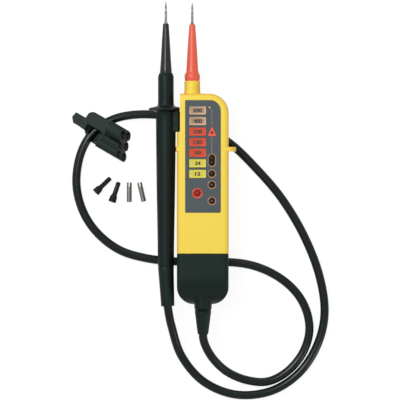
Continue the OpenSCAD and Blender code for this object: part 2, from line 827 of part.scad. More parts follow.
// Rubber tip cap lying on its bell; the wide end comes first
module tip_cap(at, turn) {
    tilt = asin((bell_r - cap_tube_r + 0.05) / (tip_cap_l - 1.9));
    lift = bell_r * cos(tilt) + 1.2 * sin(tilt);
    color(black) translate([at[0], at[1], lift]) rotate([0, tilt, turn]) rotate([0, 90, 0]) difference() {
        union() {
            rotate_extrude() polygon([
                [0, 0], [bell_r - 0.2, 0], [bell_r, 0.3], [bell_r, 1.2], [bell_r - 0.25, 1.6], [2.75, 4.6],
                [2.15, 5.9], [cap_tube_r, 7], [cap_tube_r - 0.05, tip_cap_l - 0.7],
                [1.5, tip_cap_l], [0, tip_cap_l]
            ]);
            for (a = [0:45:315]) rotate(a) translate([1.6, -0.3, 1]) cube([1.3, 0.6, 3.4]);
        }
        translate([0, 0, -1]) cylinder(r = tip_r + 0.05, h = tip_cap_l - 1);
        translate([0, 0, -1]) cylinder(r = tip_collar_r + 0.1, h = 3);
    }
}

// Split metal adapter that slips over a tip; the slotted end comes first
module tip_adapter(at, turn) {
    color(steel) translate([at[0], at[1], adapter_r]) rotate([0, 0, turn]) rotate([0, 90, 0]) difference() {
        rotate_extrude() polygon([
            [0, 0], [adapter_r - 0.4, 0], [adapter_r, 0.5], [adapter_r, adapter_l - 0.3],
            [adapter_r - 0.3, adapter_l], [0, adapter_l]
        ]);
        translate([0, 0, 2]) cylinder(r = tip_r + 0.05, h = adapter_l);
        translate([-5, -0.4, -1]) cube([10, 0.8, 7.5]);
    }
}

// The lead: a tube swept along a smooth curve through the route's points
function blend(a, b, c, d, t) =
    0.5 * (2 * b + (c - a) * t + (2 * a - 5 * b + 4 * c - d) * t * t + (3 * b - a - 3 * c + d) * t * t * t);
function slope(a, b, c, d, t) =
    0.5 * ((c - a) + 2 * (2 * a - 5 * b + 4 * c - d) * t + 3 * (3 * b - a - 3 * c + d) * t * t);
function unit(v) = v / norm(v);

// The point before the first and after the last, which make both ends run straight along Y
function run_out(end, next) = [next[0], 2 * end[1] - next[1], next[2]];

function ring(at, way) =
    let (side = unit(cross(way, [0, 0, 1])), up = cross(side, way))
    [for (k = [0:lead_sides - 1])
        let (a = 360 * (k + 0.5) / lead_sides - 90)
        at + lead_d / 2 * (cos(a) * side + sin(a) * up)];

module lead_cable() {
    n = len(route);
    pts = concat([run_out(route[0], route[1])], route, [run_out(route[n - 1], route[n - 2])]);
    rings = concat(
        [for (i = [0:n - 2], k = [0:lead_steps - 1])
            let (t = k / lead_steps)
            ring(
                blend(pts[i], pts[i + 1], pts[i + 2], pts[i + 3], t),
                unit(slope(pts[i], pts[i + 1], pts[i + 2], pts[i + 3], t))
            )],
        [ring(route[n - 1], [0, 1, 0])]
    );
    s = lead_sides;
    last = len(rings) - 1;
    color(black) polyhedron(
        points = [for (r = rings, p = r) p],
        faces = concat(
            [for (i = [0:last - 1], k = [0:s - 1]) [i * s + k, i * s + (k + 1) % s, (i + 1) * s + k]],
            [for (i = [0:last - 1], k = [0:s - 1])
                [i * s + (k + 1) % s, (i + 1) * s + (k + 1) % s, (i + 1) * s + k]],
            [for (k = [1:s - 2]) [0, k + 1, k]],
            [for (k = [1:s - 2]) [last * s, last * s + k, last * s + k + 1]]
        )
    );
}

front_shell();
rear_shell();
end_cap();
strain_relief();
face_panel();
window_lens(0, "#e3ba90");  // window_lens_690
window_lens(1, "#e3ba90");  // window_lens_400
window_lens(2, "#f0603a");  // window_lens_230
window_lens(3, "#f0603a");  // window_lens_120
window_lens(4, "#f0603a");  // window_lens_50
window_lens(5, "#f2e85a");  // window_lens_24
window_lens(6, "#f2e85a");  // window_lens_12
triangle_lens();
dot_lens();
twin_lamp_lens();
lamp_lens(upper_y);  // lamp_lens_upper
lamp_lens(plus_y);  // lamp_lens_plus
lamp_lens(minus_y);  // lamp_lens_minus
volts_lamp_lens();
circuit_board();
indicator_leds();
buzzer();
handle_resistor();
cell(-cell_half, cell_y, 1);  // battery_left
cell(cell_half, cell_y - 1.8, -1);  // battery_right
battery_springs();
battery_plate();
case_screws();
red_nose();
red_tip();
battery_door();
door_screw();
probe_barrel();
probe_nose();
probe_tip();
probe_end_sleeve();
probe_resistor();
accessory_holder();
tip_cap([-55, -19.6], 44.3);  // tip_cap_left
tip_cap([-41.8, -27.1], 70.9);  // tip_cap_right
tip_adapter([-27.9, -11.5], -90);  // tip_adapter_left
tip_adapter([-19.8, -11.5], -77);  // tip_adapter_right
lead_cable();
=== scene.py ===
"""Looks of the two-pole voltage tester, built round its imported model."""
import math

import bpy
from bpy.props import FloatProperty, FloatVectorProperty, PointerProperty
from mathutils import Matrix, Vector


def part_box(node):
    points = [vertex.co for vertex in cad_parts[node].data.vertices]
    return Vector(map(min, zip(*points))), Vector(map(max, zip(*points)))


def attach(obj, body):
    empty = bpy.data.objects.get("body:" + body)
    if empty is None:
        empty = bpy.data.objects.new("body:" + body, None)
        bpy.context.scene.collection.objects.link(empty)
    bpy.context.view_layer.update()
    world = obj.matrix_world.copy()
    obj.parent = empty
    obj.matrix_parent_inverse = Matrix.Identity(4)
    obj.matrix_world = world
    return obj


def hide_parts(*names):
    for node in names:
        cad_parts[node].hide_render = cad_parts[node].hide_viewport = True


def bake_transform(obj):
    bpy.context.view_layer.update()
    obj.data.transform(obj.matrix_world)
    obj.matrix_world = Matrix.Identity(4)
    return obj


bl_info = {
    "name": "Two-pole voltage tester",
    "version": (1, 0, 0),
    "blender": (4, 5, 0),
    "location": "View3D > Sidebar > Tester",
    "description": "Models and finishes a two-pole voltage tester with its lead and accessories",
    "category": "Add Mesh",
}

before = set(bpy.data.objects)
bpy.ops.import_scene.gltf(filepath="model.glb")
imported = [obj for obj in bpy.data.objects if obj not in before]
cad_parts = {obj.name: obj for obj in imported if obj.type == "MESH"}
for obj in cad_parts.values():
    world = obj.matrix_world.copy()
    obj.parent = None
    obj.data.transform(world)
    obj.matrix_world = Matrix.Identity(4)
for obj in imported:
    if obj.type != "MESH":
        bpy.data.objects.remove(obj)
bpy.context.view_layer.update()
MM = 0.001
# Ends of an edge that lie closer than this, in millimetres, lie in one line
TOUCH = 1e-4


def ends(node):
    """The lowest and highest corner of a CAD node's box, in millimetres."""
    return [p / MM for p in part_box(node)]


def middle(node):
    """The middle of a CAD node's box, in millimetres."""
    low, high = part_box(node)
    return (low + high) / 2 / MM


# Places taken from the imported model, in millimetres
FRONT_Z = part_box("front_shell")[1].z / MM
BACK_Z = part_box("rear_shell")[0].z / MM
AXIS_Z = (FRONT_Z + BACK_Z) / 2
NOSE_X = middle("red_nose").x
PROBE_X = middle("probe_nose").x
RELIEF_X = middle("strain_relief").x
LAMP_X = middle("lamp_lens_upper").x
WINDOWS = ("690", "400", "230", "120", "50", "24", "12")
WINDOW_LOOKS = [("peach", "lens_peach")] * 2 + [("orange", "lens_red")] * 3 + [("lemon", "lens_yellow")] * 2


def linear(code):
    """A colour written as six hexadecimal digits, as linear light."""
    parts = [int(code[i:i + 2], 16) / 255 for i in (0, 2, 4)]
    return tuple(c / 12.92 if c <= 0.04045 else ((c + 0.055) / 1.055) ** 2.4 for c in parts)


def length(name, mm, text):
    """A size in the sidebar, given in millimetres."""
    return FloatProperty(name=name, description=text, default=mm * MM, precision=5, unit="LENGTH")


def colour(name, code, text):
    """A colour in the sidebar."""
    return FloatVectorProperty(name=name, description=text, default=linear(code), size=3,
                               min=0, max=1, subtype="COLOR")


class TesterSizes(bpy.types.PropertyGroup):
    """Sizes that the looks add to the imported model."""
    lead_diameter: length("Lead", 6.8, "Diameter of the lead")
    edge: length("Edges", 0.25, "Rounding of the moulded edges")
    digit_height: length("Digits", 3.0, "Height of the numbers on the windows")
    digit_width: length("Digit width", 2.0, "Width of one digit")
    lamp_ring: length("Lamp rings", 3.45, "Outer radius of the rings round the lamps")
    volts_ring: length("Large lamp ring", 4.3, "Outer radius of the ring round the large lamp")
    line_width: length("Line", 0.45, "Width of the printed line")


class TesterColours(bpy.types.PropertyGroup):
    """Colours of the tester's finishes."""
    yellow: colour("Yellow", "f2d44c", "Moulded handle")
    black: colour("Black", "111a18", "Moulded black parts")
    rubber: colour("Rubber", "131d1a", "End cap and strain relief")
    holder: colour("Holder", "1a2623", "Accessory holder")
    red: colour("Red", "e45d42", "Cone of the handle's own probe")
    # Painted shade: the handle's flanks go over to this deeper, more orange yellow where they turn away from
    # the front
    yellow_flank_shade: colour("Yellow, deep", "f4b64a", "Moulded handle where it turns away")
    panel: colour("Panel", "424c4f", "Inlaid face")
    # In the windows, the pale colours are painted as a highlight on their rims, and the deep ones are their
    # own colour in the middle
    peach: colour("Peach window", "efc79a", "The two highest windows")
    ring: colour("Lamp ring", "a47d5c", "Sloped rings round the lamps")
    peach_deep: colour("Peach window, deep", "9c8270", "Middle of the two highest windows")
    orange: colour("Red window", "ea5c3c", "The three middle windows")
    orange_deep: colour("Red window, deep", "c84228", "Middle of the three red windows")
    lemon: colour("Yellow window", "e8e05c", "The two lowest windows")
    lemon_deep: colour("Yellow window, deep", "d2c648", "Middle of the two lowest windows")
    lamp: colour("Dark lamp", "1c1614", "Unlit lamps")
    ruby: colour("Red lamp", "8c1c14", "Large lamp")
    lead: colour("Lead", "0c1412", "Flexible sheath")
    ink: colour("Ink", "200804", "Printed numbers")
    line: colour("Line", "9a7076", "Printed line on the face")
    steel: colour("Steel", "989895", "Turned probe tips")
    nickel: colour("Nickel", "7c7d79", "Screws, springs and sheet adapters")
    board: colour("Board", "1f5a3c", "Circuit board")


def sizes():
    """The sizes set in the sidebar."""
    return bpy.context.scene.tester_sizes


def colours():
    """The colours set in the sidebar."""
    return bpy.context.scene.tester_colours


# Small modelling steps that the pieces share

def deselect():
    """Leaves nothing selected."""
    bpy.ops.object.select_all(action="DESELECT")


def pick(obj):
    """Selects one object and makes it the active one."""
    deselect()
    obj.select_set(True)
    bpy.context.view_layer.objects.active = obj


def mode(name):
    """Switches the active object between EDIT and OBJECT mode."""
    bpy.ops.object.mode_set(mode=name)


def select_all(action="SELECT"):
    """Selects all of the mesh in edit mode, or none of it."""
    bpy.ops.mesh.select_all(action=action)


def applied(obj):
    """Puts an object's place in its mesh."""
    pick(obj)
    bpy.ops.object.transform_apply(location=True, rotation=True, scale=True)
    return obj


def named(name):
    """Names the object that was just added and puts its place in its mesh."""
    obj = bpy.context.active_object
    obj.name = name
    obj.data.name = name
    return applied(obj)


def modify(obj, kind, **settings):
    """Adds a modifier and applies it."""
    pick(obj)
    modifier = obj.modifiers.new(kind.lower(), kind)
    for key, value in settings.items():
        setattr(modifier, key, value)
    bpy.ops.object.modifier_apply(modifier=modifier.name)
    return obj


def smooth(obj, degrees=35):
    """Shades an object smooth up to an angle."""
    pick(obj)
    bpy.ops.object.shade_smooth_by_angle(angle=math.radians(degrees))
    return obj


def fit(obj, low, high):
    """Stretches and moves an object so that its box runs from low to high, in millimetres."""
    points = [v.co / MM for v in obj.data.vertices]
    for i in range(3):
        start, end = min(p[i] for p in points), max(p[i] for p in points)
        scale = (high[i] - low[i]) / max(end - start, 1e-9)
        obj.scale[i] = scale
        obj.location[i] = (low[i] - start * scale) * MM
    return applied(obj)


def bevel_where(obj, test, radius, segments):
    """Rounds the edges whose two ends, in millimetres, pass the test."""
    pick(obj)
    mode("EDIT")
    bpy.ops.mesh.select_mode(type="EDGE")
    select_all("DESELECT")
    mode("OBJECT")
    for edge in obj.data.edges:
        edge.select = test(*(obj.data.vertices[i].co / MM for i in edge.vertices))
    mode("EDIT")
    bpy.ops.mesh.bevel(offset=radius * MM, segments=segments, profile=0.5)
    mode("OBJECT")


def stands(a, b):
    """Whether an edge runs along Z."""
    return abs(a.x - b.x) + abs(a.y - b.y) < TOUCH


def block(name, low, high, upright=0.0, rim=0.0):
    """A box with rounded upright edges and a rounded top rim."""
    deselect()
    bpy.ops.mesh.primitive_cube_add(size=1)
    obj = fit(named(name), low, high)
    if upright:
        bevel_where(obj, stands, upright, 5)
    if rim:
        bevel_where(obj, lambda a, b: min(a.z, b.z) > high[2] - TOUCH, rim, 3)
    return evened(smooth(obj, 50))


def turned(name, profile, centre, axis="Y", steps=64):
    """Spins a profile, given as pairs of radius and length in millimetres, about an axis through centre."""
    along = {"Y": Vector((0, 1, 0)), "Z": Vector((0, 0, 1))}[axis]
    centre = Vector(centre)
    deselect()
    start = centre + Vector((profile[0][0], 0, 0)) + along * profile[0][1]
    bpy.ops.mesh.primitive_plane_add(size=0.1 * MM, location=start * MM)
    obj = named(name)
    mode("EDIT")
    bpy.ops.mesh.select_mode(type="VERT")
    select_all()
    bpy.ops.mesh.merge(type="CENTER")
    for (r0, l0), (r1, l1) in zip(profile, profile[1:]):
        step = (Vector((r1 - r0, 0, 0)) + along * (l1 - l0)) * MM
        bpy.ops.mesh.extrude_region_move(TRANSFORM_OT_translate={"value": step})
    select_all()
    bpy.ops.mesh.spin(steps=steps, angle=math.tau, center=centre * MM, axis=along)
    select_all()
    bpy.ops.mesh.remove_doubles(threshold=0.002 * MM)
    bpy.ops.mesh.normals_make_consistent(inside=False)
    mode("OBJECT")
    return smooth(obj, 32)


def cut(obj, *tools):
    """Takes tools away from an object and deletes them."""
    for tool in tools:
        modify(obj, "BOOLEAN", operation="DIFFERENCE", object=tool, solver="EXACT")
        bpy.data.objects.remove(tool)
    return obj


def fuse(obj, *parts):
    """Adds parts to an object and deletes them."""
    for part in parts:
        modify(obj, "BOOLEAN", operation="UNION", object=part, solver="EXACT")
        bpy.data.objects.remove(part)
    return obj


def joined(name, parts):
    """One object that holds several separate parts."""
    pick(parts[0])
    for part in parts[1:]:
        part.select_set(True)
    if len(parts) > 1:
        bpy.ops.object.join()
    parts[0].name = name
    parts[0].data.name = name
    return parts[0]


def evened(obj):
    """Keeps wide flat faces flat where they meet small rounded ones."""
    return modify(obj, "WEIGHTED_NORMAL", keep_sharp=True, weight=60)


def carried_copy(node, name, whole=True):
    """A merged copy of a CAD node's mesh; whole joins its flat faces."""
    obj = bpy.data.objects.new(name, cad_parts[node].data.copy())
    bpy.context.scene.collection.objects.link(obj)
    pick(obj)
    mode("EDIT")
    select_all()
    bpy.ops.mesh.remove_doubles(threshold=0.001 * MM)
    if whole:
        bpy.ops.mesh.dissolve_limited(angle_limit=math.radians(0.6))
    mode("OBJECT")
    return obj


def softened(node, name, width=None):
    """A copy of a CAD node with its edges rounded as a mould leaves them."""
    obj = carried_copy(node, name)
    modify(obj, "BEVEL", width=width * MM if width else sizes().edge, segments=2, limit_method="ANGLE",
           angle_limit=math.radians(32), use_clamp_overlap=False, miter_outer="MITER_ARC")
    return evened(smooth(obj, 40))


# Voxel size and smoothing rounds of the two large rubber pieces
CAP_SKIN = (0.55, 10)
HOLDER_SKIN = (0.32, 5)


def rubbery(obj, voxel, rounds):
    """Rounds every edge of a piece as soft rubber has them."""
    modify(obj, "REMESH", mode="VOXEL", voxel_size=voxel * MM)
    modify(obj, "SMOOTH", factor=0.5, iterations=rounds)
    return smooth(obj, 80)


def moved(obj, matrix):
    """Moves a piece and puts its new place in its mesh."""
    obj.matrix_world = matrix
    return applied(obj)


def turning(degrees, axis):
    """A turn about one axis."""
    return Matrix.Rotation(math.radians(degrees), 4, axis)


def placed(obj, at, turn, tilt=0.0):
    """Lays a piece made along +Y from the origin at a place, turned about Z and tilted nose down."""
    return moved(obj, Matrix.Translation(Vector(at) * MM) @ turning(turn - 90, "Z") @ turning(-tilt, "X"))


def add_piece(obj, look, slot, *nodes, body="handle"):
    """Finishes a piece: material, the nodes it stands for and the body, if any, that carries it. Its slot is
    not used.
    """
    dress(obj, FINISHES[look])
    if nodes:
        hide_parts(*nodes)
    if body:
        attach(obj, body)
    return obj


# Surface effects that several finishes share

GREY = (0.5, 0.5, 0.5, 1)
# Kinds of sockets by how many numbers they hold
KINDS = {4: "NodeSocketColor", 3: "NodeSocketVector", 1: "NodeSocketFloat"}


def group(name, inputs, outputs):
    """A shader node group, made of its inputs' names and values and its outputs' names, and both ends."""
    tree = bpy.data.node_groups.new(name, "ShaderNodeTree")
    for socket, value in inputs.items():
        kind = KINDS[len(value) if isinstance(value, tuple) else 1]
        tree.interface.new_socket(name=socket, in_out="INPUT", socket_type=kind).default_value = value
    for socket in outputs:
        kind = KINDS[4 if socket == "Colour" else 1]
        tree.interface.new_socket(name=socket, in_out="OUTPUT", socket_type=kind)
    return tree, tree.nodes.new("NodeGroupInput").outputs, tree.nodes.new("NodeGroupOutput").inputs


def feed(socket, value):
    """Links a socket to another one, or sets its value."""
    if isinstance(value, bpy.types.NodeSocket):
        socket.id_data.links.new(value, socket)
    elif value is not None:
        socket.default_value = value


def add(tree, kind, **settings):
    """A node with its settings; keys that name an input feed that input."""
    node = tree.nodes.new(kind)
    for key, value in settings.items():
        if key in node.inputs:
            feed(node.inputs[key], value)
        else:
            setattr(node, key, value)
    return node


# Each of these takes the tree from its first socket

def ramp_range(source, low, high, to_low=0.0, to_high=1.0, soft=False):
    """Maps a value from one range to another; soft eases both ends."""
    limits = {"From Min": low, "From Max": high, "To Min": to_low, "To Max": to_high}
    return add(source.id_data, "ShaderNodeMapRange", interpolation_type="SMOOTHSTEP" if soft else "LINEAR",
               Value=source, **limits).outputs["Result"]


def maths(operation, *values, kind="ShaderNodeMath"):
    """A maths node on a socket and more sockets or numbers."""
    node = add(values[0].id_data, kind, operation=operation)
    for socket, value in zip(node.inputs, values):
        feed(socket, value)
    return node.outputs["Value"]


def dot(a, b):
    """The dot product of two vector sockets."""
    return maths("DOT_PRODUCT", a, b, kind="ShaderNodeVectorMath")


def scaled(vector, factor):
    """A vector or colour socket times a number."""
    return add(vector.id_data, "ShaderNodeVectorMath", operation="SCALE", Vector=vector,
               Scale=factor).outputs["Vector"]


def blend_colours(factor, a, b):
    """Mixes two colours, given as sockets or linear values, by a socket."""
    node = add(factor.id_data, "ShaderNodeMix", data_type="RGBA", Factor=factor)
    for key, value in (("A", a), ("B", b)):
        socket = [s for s in node.inputs if s.name == key and s.type == "RGBA"][0]
        feed(socket, (*value, 1) if isinstance(value, tuple) else value)
    return [s for s in node.outputs if s.type == "RGBA"][0]


def noise(place, scale, detail=2.0, roughness=0.55):
    """Noise over object coordinates."""
    return add(place.id_data, "ShaderNodeTexNoise", Vector=place, Scale=scale, Detail=detail,
               Roughness=roughness).outputs["Fac"]


def moulded_skin():
    """Fine moulded grain, faint mottling of the colour, rubbed edges and a few scuffs."""
    tree, given, result = group("Moulded skin", {
        "Colour": GREY, "Worn colour": GREY, "Grain size": 2500.0, "Mottle": 0.1, "Wear": 0.3,
        "Roughness": 0.4}, ("Colour", "Roughness", "Height"))
    place = add(tree, "ShaderNodeTexCoord").outputs["Object"]
    cloud = ramp_range(noise(place, 70, 4), 0.3, 0.7, -1, 1)
    amount = maths("MULTIPLY_ADD", cloud, given["Mottle"], 1)
    # rubbed edges: where a rounded normal differs from the true one
    soft = add(tree, "ShaderNodeBevel", samples=4, Radius=0.0006).outputs["Normal"]
    edge = ramp_range(dot(soft, add(tree, "ShaderNodeNewGeometry").outputs["Normal"]), 0.995, 0.88)
    patchy = ramp_range(noise(place, 260, 3), 0.35, 0.62)
    scuffs = ramp_range(noise(place, 620, 5, 0.75), 0.66, 0.76, 0, 0.35)
    worn = maths("MAXIMUM", maths("MULTIPLY", edge, patchy), scuffs)
    worn = maths("MULTIPLY", worn, given["Wear"])
    tint = scaled(given["Colour"], amount)
    feed(result["Colour"], blend_colours(worn, tint, given["Worn colour"]))
    rough = maths("MULTIPLY", given["Roughness"], amount)
    feed(result["Roughness"], maths("MULTIPLY_ADD", worn, 0.15, rough))
    feed(result["Height"], noise(place, given["Grain size"], 2.0, 0.6))
    return tree


def turning_marks():
    """Fine rings left by the lathe, with smudges, about an axis."""
    tree, given, result = group("Turning marks", {
        "Colour": GREY, "Axis": (0, 1, 0), "Roughness": 0.25}, ("Colour", "Roughness", "Height"))
    place = add(tree, "ShaderNodeTexCoord").outputs["Object"]
    rings = add(tree, "ShaderNodeTexNoise", noise_dimensions="1D", Scale=9000.0, Detail=3.0,
                W=dot(place, given["Axis"]))
    smudge = noise(place, 420, 4)
    shade = ramp_range(smudge, 0.3, 0.7, 0.82, 1.08)
    feed(result["Colour"], scaled(given["Colour"], shade))
    rough = ramp_range(smudge, 0.3, 0.7, 1.35, 0.8)
    feed(result["Roughness"], maths("MULTIPLY", rough, given["Roughness"]))
    feed(result["Height"], rings.outputs["Fac"])
    return tree


def window_tint_and_highlight():
    """A diffusing window's colour: its own deep colour in the middle, and a painted highlight that turns its
    rim pale, most at the lower right and least at the upper left.
    """
    low, high = ends("window_lens_690")
    pitch = middle("window_lens_690").y - middle("window_lens_400").y
    centre_x, centre_y = (low.x + high.x) / 2, (low.y + high.y) / 2
    half_w, half_h = (high.x - low.x) / 2 * MM, (high.y - low.y) / 2 * MM
    tree, given, result = group("Window tint", {"Pale": GREY, "Deep": GREY}, ("Colour", "Height"))
    place = add(tree, "ShaderNodeTexCoord").outputs["Object"]
    apart = add(tree, "ShaderNodeSeparateXYZ", Vector=place).outputs
    u = maths("DIVIDE", maths("SUBTRACT", apart["X"], centre_x * MM), half_w)
    # counted in rows from the foot of the lowest one, every window spans the same fractions
    start = (centre_y - (len(WINDOWS) - 0.5) * pitch) * MM
    rows = maths("DIVIDE", maths("SUBTRACT", apart["Y"], start), pitch * MM)
    v = maths("MULTIPLY", maths("SUBTRACT", maths("FRACT", rows), 0.5), pitch * MM / half_h)
    out = maths("MAXIMUM", maths("ABSOLUTE", u), maths("ABSOLUTE", v))
    # painted highlight: towards the rim the window takes its pale colour, most at the lower right and least
    # at the upper left
    rim = ramp_range(out, 0.45, 1.0, 0, 1, soft=True)
    lower_right_light = ramp_range(maths("SUBTRACT", u, v), -1.4, 1.2, 0.25, 1.0)
    cloud = ramp_range(noise(place, 500, 3), 0.3, 0.7, 0.85, 1.15)
    pale = maths("MULTIPLY", maths("MULTIPLY", rim, lower_right_light), cloud)
    feed(result["Colour"], blend_colours(pale, given["Deep"], given["Pale"]))
    feed(result["Height"], noise(place, 1800, 2))
    return tree


def shaded(name, surface_group, values, depth, gloss=0.5, **sockets):
    """A material whose surface comes from a group; gloss and sockets are set on the shader itself."""
    material = bpy.data.materials.new(name)
    material.use_nodes = True
    tree = material.node_tree
    shader = tree.nodes["Principled BSDF"].inputs
    surface = add(tree, "ShaderNodeGroup", node_tree=surface_group, **values).outputs
    bump = add(tree, "ShaderNodeBump", Strength=1.0, Distance=depth, Height=surface["Height"])
    feed(shader["Normal"], bump.outputs["Normal"])
    feed(shader["Base Color"], surface["Colour"])
    if "Roughness" in surface:
        feed(shader["Roughness"], surface["Roughness"])
    feed(shader["Specular IOR Level"], gloss)
    for key, value in sockets.items():
        feed(shader[key.replace("_", " ").title()], value)
    return material


def moulded(name, tint, roughness, grain=2500.0, mottle=0.05, wear=0.3, depth=2e-5, lift=0.12, **sockets):
    """A moulded plastic or rubber finish."""
    pale = tuple(c + (1 - c) * lift for c in tint)
    return shaded(name, SKINS["moulded"], {
        "Colour": (*tint, 1), "Worn colour": (*pale, 1), "Grain size": grain, "Mottle": mottle, "Wear": wear,
        "Roughness": roughness}, depth, **sockets)


def flank_shaded(material, deep):
    """Paints shade on the flanks of a moulding: where its surface turns from the front and back to the side,
    its colour goes over to a deeper one.
    """
    tree = material.node_tree
    base = tree.nodes["Principled BSDF"].inputs["Base Color"]
    plain = base.links[0].from_socket
    normal = add(tree, "ShaderNodeNewGeometry").outputs["Normal"]
    facing = maths("ABSOLUTE", add(tree, "ShaderNodeSeparateXYZ", Vector=normal).outputs["Z"])
    # painted shade: the less a face looks to the front or back, the more of the deep colour it takes
    feed(base, blend_colours(ramp_range(facing, 0.9, 0.2), plain, tuple(deep)))
    return material


def metal(name, tint, axis, roughness=0.75):
    """Bright turned metal whose marks run round an axis."""
    return shaded(name, SKINS["turned"], {"Colour": (*tint, 1), "Axis": axis, "Roughness": roughness},
                  1e-7, metallic=1.0)


def window_finish(name, pale, deep):
    """A tinted diffusing window, with a painted highlight on its rim."""
    return shaded(name, SKINS["window"], {"Pale": (*pale, 1), "Deep": (*deep, 1)}, 4e-6,
                  roughness=0.4, gloss=0.2)


def dress(obj, material):
    """Puts one material on all of an object."""
    slots = obj.data.materials
    if len(slots):
        for i in range(len(slots)):
            slots[i] = material
    else:
        slots.append(material)


# Filled by make_finishes
SKINS = {}
FINISHES = {}
# Tint of the gloss on black pieces
SHEEN = (0.72, 1.0, 0.93, 1.0)
ADAPTER_TURNS = {"left": -90, "right": -77}


def make_finishes():
    """Every material, by name."""
    SKINS.update({"moulded": moulded_skin(), "turned": turning_marks(), "window": window_tint_and_highlight()})
    c = colours()
    FINISHES.update({
        # the yellow moulding gets painted shade on its flanks
        "yellow": flank_shaded(moulded("Yellow moulding", c.yellow, 0.4, 1800, 0.02, 0.25, 1.2e-5, 0.35,
                                   gloss=0.3), c.yellow_flank_shade),
        "black": moulded("Black moulding", c.black, 0.4, 2200, 0.08, 0.4, gloss=0.14, specular_tint=SHEEN),
        "soft_black": moulded("Rubber caps", c.black, 0.22, 2200, 0.08, 0.1, 6e-7, gloss=0.13),
        "cone": moulded("Black cone", c.black, 0.26, 2200, 0.08, 0.4, 6e-7, gloss=0.32),
        "holder": moulded("Holder", c.holder, 0.42, 2200, 0.08, 0.4, 1e-5, gloss=0.15),
        "rubber": moulded("Black rubber", c.rubber, 0.45, 2600, 0.1, 0.4, 3e-5, gloss=0.14,
                          specular_tint=SHEEN),
        "red": moulded("Red cone", c.red, 0.34, 2000, 0.03, 0.3, 1.5e-5, 0.25, gloss=0.4),
        "panel": moulded("Grey face", c.panel, 0.5, 3200, 0.05, 0.4, 8e-6, gloss=0.3),
        "peach": window_finish("Peach window", c.peach, c.peach_deep),
        "orange": window_finish("Red window", c.orange, c.orange_deep),
        "lemon": window_finish("Yellow window", c.lemon, c.lemon_deep),
        "ring": moulded("Lamp ring", c.ring, 0.3, 1800, 0.08, 0.2),
        "ruby_ring": moulded("Red lamp ring", c.orange_deep, 0.35, 1800, 0.08, 0.2),
        "warm": moulded("Warm lamp", c.orange, 0.3, 1800, 0.12, 0.2, coat_weight=0.4),
        "lamp": moulded("Dark lamp", c.lamp, 0.45, 1500, 0.2, 0.0, 4e-6, gloss=0.2),
        "ruby": moulded("Red lamp", c.ruby, 0.45, 1500, 0.2, 0.0, 4e-6, gloss=0.25),
        "lead": moulded("Lead sheath", c.lead, 0.4, 900, 0.15, 0.25, 2e-6, gloss=0.05,
                        specular_tint=SHEEN, coat_weight=0.3, coat_roughness=0.16),
        "ink": moulded("Ink", c.ink, 0.5, 1500, 0.1, 0.0),
        "line": moulded("Printed line", c.line, 0.5, 1500, 0.1, 0.0),
        "steel": metal("Turned steel", c.steel, (0, 1, 0)),
        "pressed": metal("Pressed steel", c.nickel, (0, 0, 1), 0.35),
        "board": moulded("Board lacquer", c.board, 0.3, 1200, 0.2, 0.2, coat_weight=0.5),
        "cell": moulded("Cell jacket", linear("2c4f7c"), 0.3, 1500, 0.05, 0.2, metallic=0.6),
        "tan": moulded("Resistor body", linear("b9a27a"), 0.45, 1500, 0.08, 0.2),
        "milky": moulded("Diode body", linear("dcd8cc"), 0.3, 1500, 0.04, 0.1),
    })
    for side, turn in ADAPTER_TURNS.items():
        way = (math.cos(math.radians(turn)), math.sin(math.radians(turn)), 0)
        FINISHES[f"adapter_{side}"] = metal(f"Adapter {side}", c.nickel, way, 0.38)


# The stage

VIEW_WIDTH = 320 * MM
VIEW_MIDDLE = (28.8 * MM, -25.6 * MM, AXIS_Z * MM)
CAMERA_HEIGHT = 8.0
LAMPS = (
    # name, place, width and height, watts
    ("key", (-0.5, 0.42, 1.25), (0.32, 1.1), 13.0),
    ("side", (1.15, -0.75, 0.4), (0.35, 1.2), 5.6),
    ("head", (0.1, 1.2, 0.9), (1.2, 0.5), 2.8),
)
FLOOR_SIZE = 12
FLOOR_HEIGHT = -0.2
# What the camera sees of the floor, its own light, and what lights the object from below
FLOOR_SEEN = 0.12
FLOOR_GLOW = 0.92
FLOOR_TRUE = 0.6
WORLD_LIGHT = 0.32


def make_camera():
    """Looks straight down, as the photograph does."""
    deselect()
    x, y, z = VIEW_MIDDLE
    bpy.ops.object.camera_add(location=(x, y, z + CAMERA_HEIGHT), rotation=(0, 0, 0))
    camera = bpy.context.active_object
    camera.name = "camera"
    camera.data.sensor_width = 36
    camera.data.lens = camera.data.sensor_width * CAMERA_HEIGHT / VIEW_WIDTH
    bpy.context.scene.camera = camera


def make_lamps():
    """Soft boxes round the object, aimed at its middle."""
    aim = Vector(VIEW_MIDDLE)
    for name, place, size, watts in LAMPS:
        deselect()
        bpy.ops.object.light_add(type="AREA", location=place)
        lamp = bpy.context.active_object
        lamp.name = name
        lamp.data.shape = "RECTANGLE"
        lamp.data.size, lamp.data.size_y = size
        lamp.data.energy = watts
        lamp.rotation_euler = (aim - Vector(place)).to_track_quat("-Z", "Y").to_euler()


def seen_or_mirrored(tree):
    """1 for what the camera sees, also in gloss and glass, and 0 for light that falls on the object."""
    rays = add(tree, "ShaderNodeLightPath").outputs
    through = maths("MAXIMUM", rays["Is Glossy Ray"], rays["Is Transmission Ray"])
    return maths("MAXIMUM", rays["Is Camera Ray"], through)


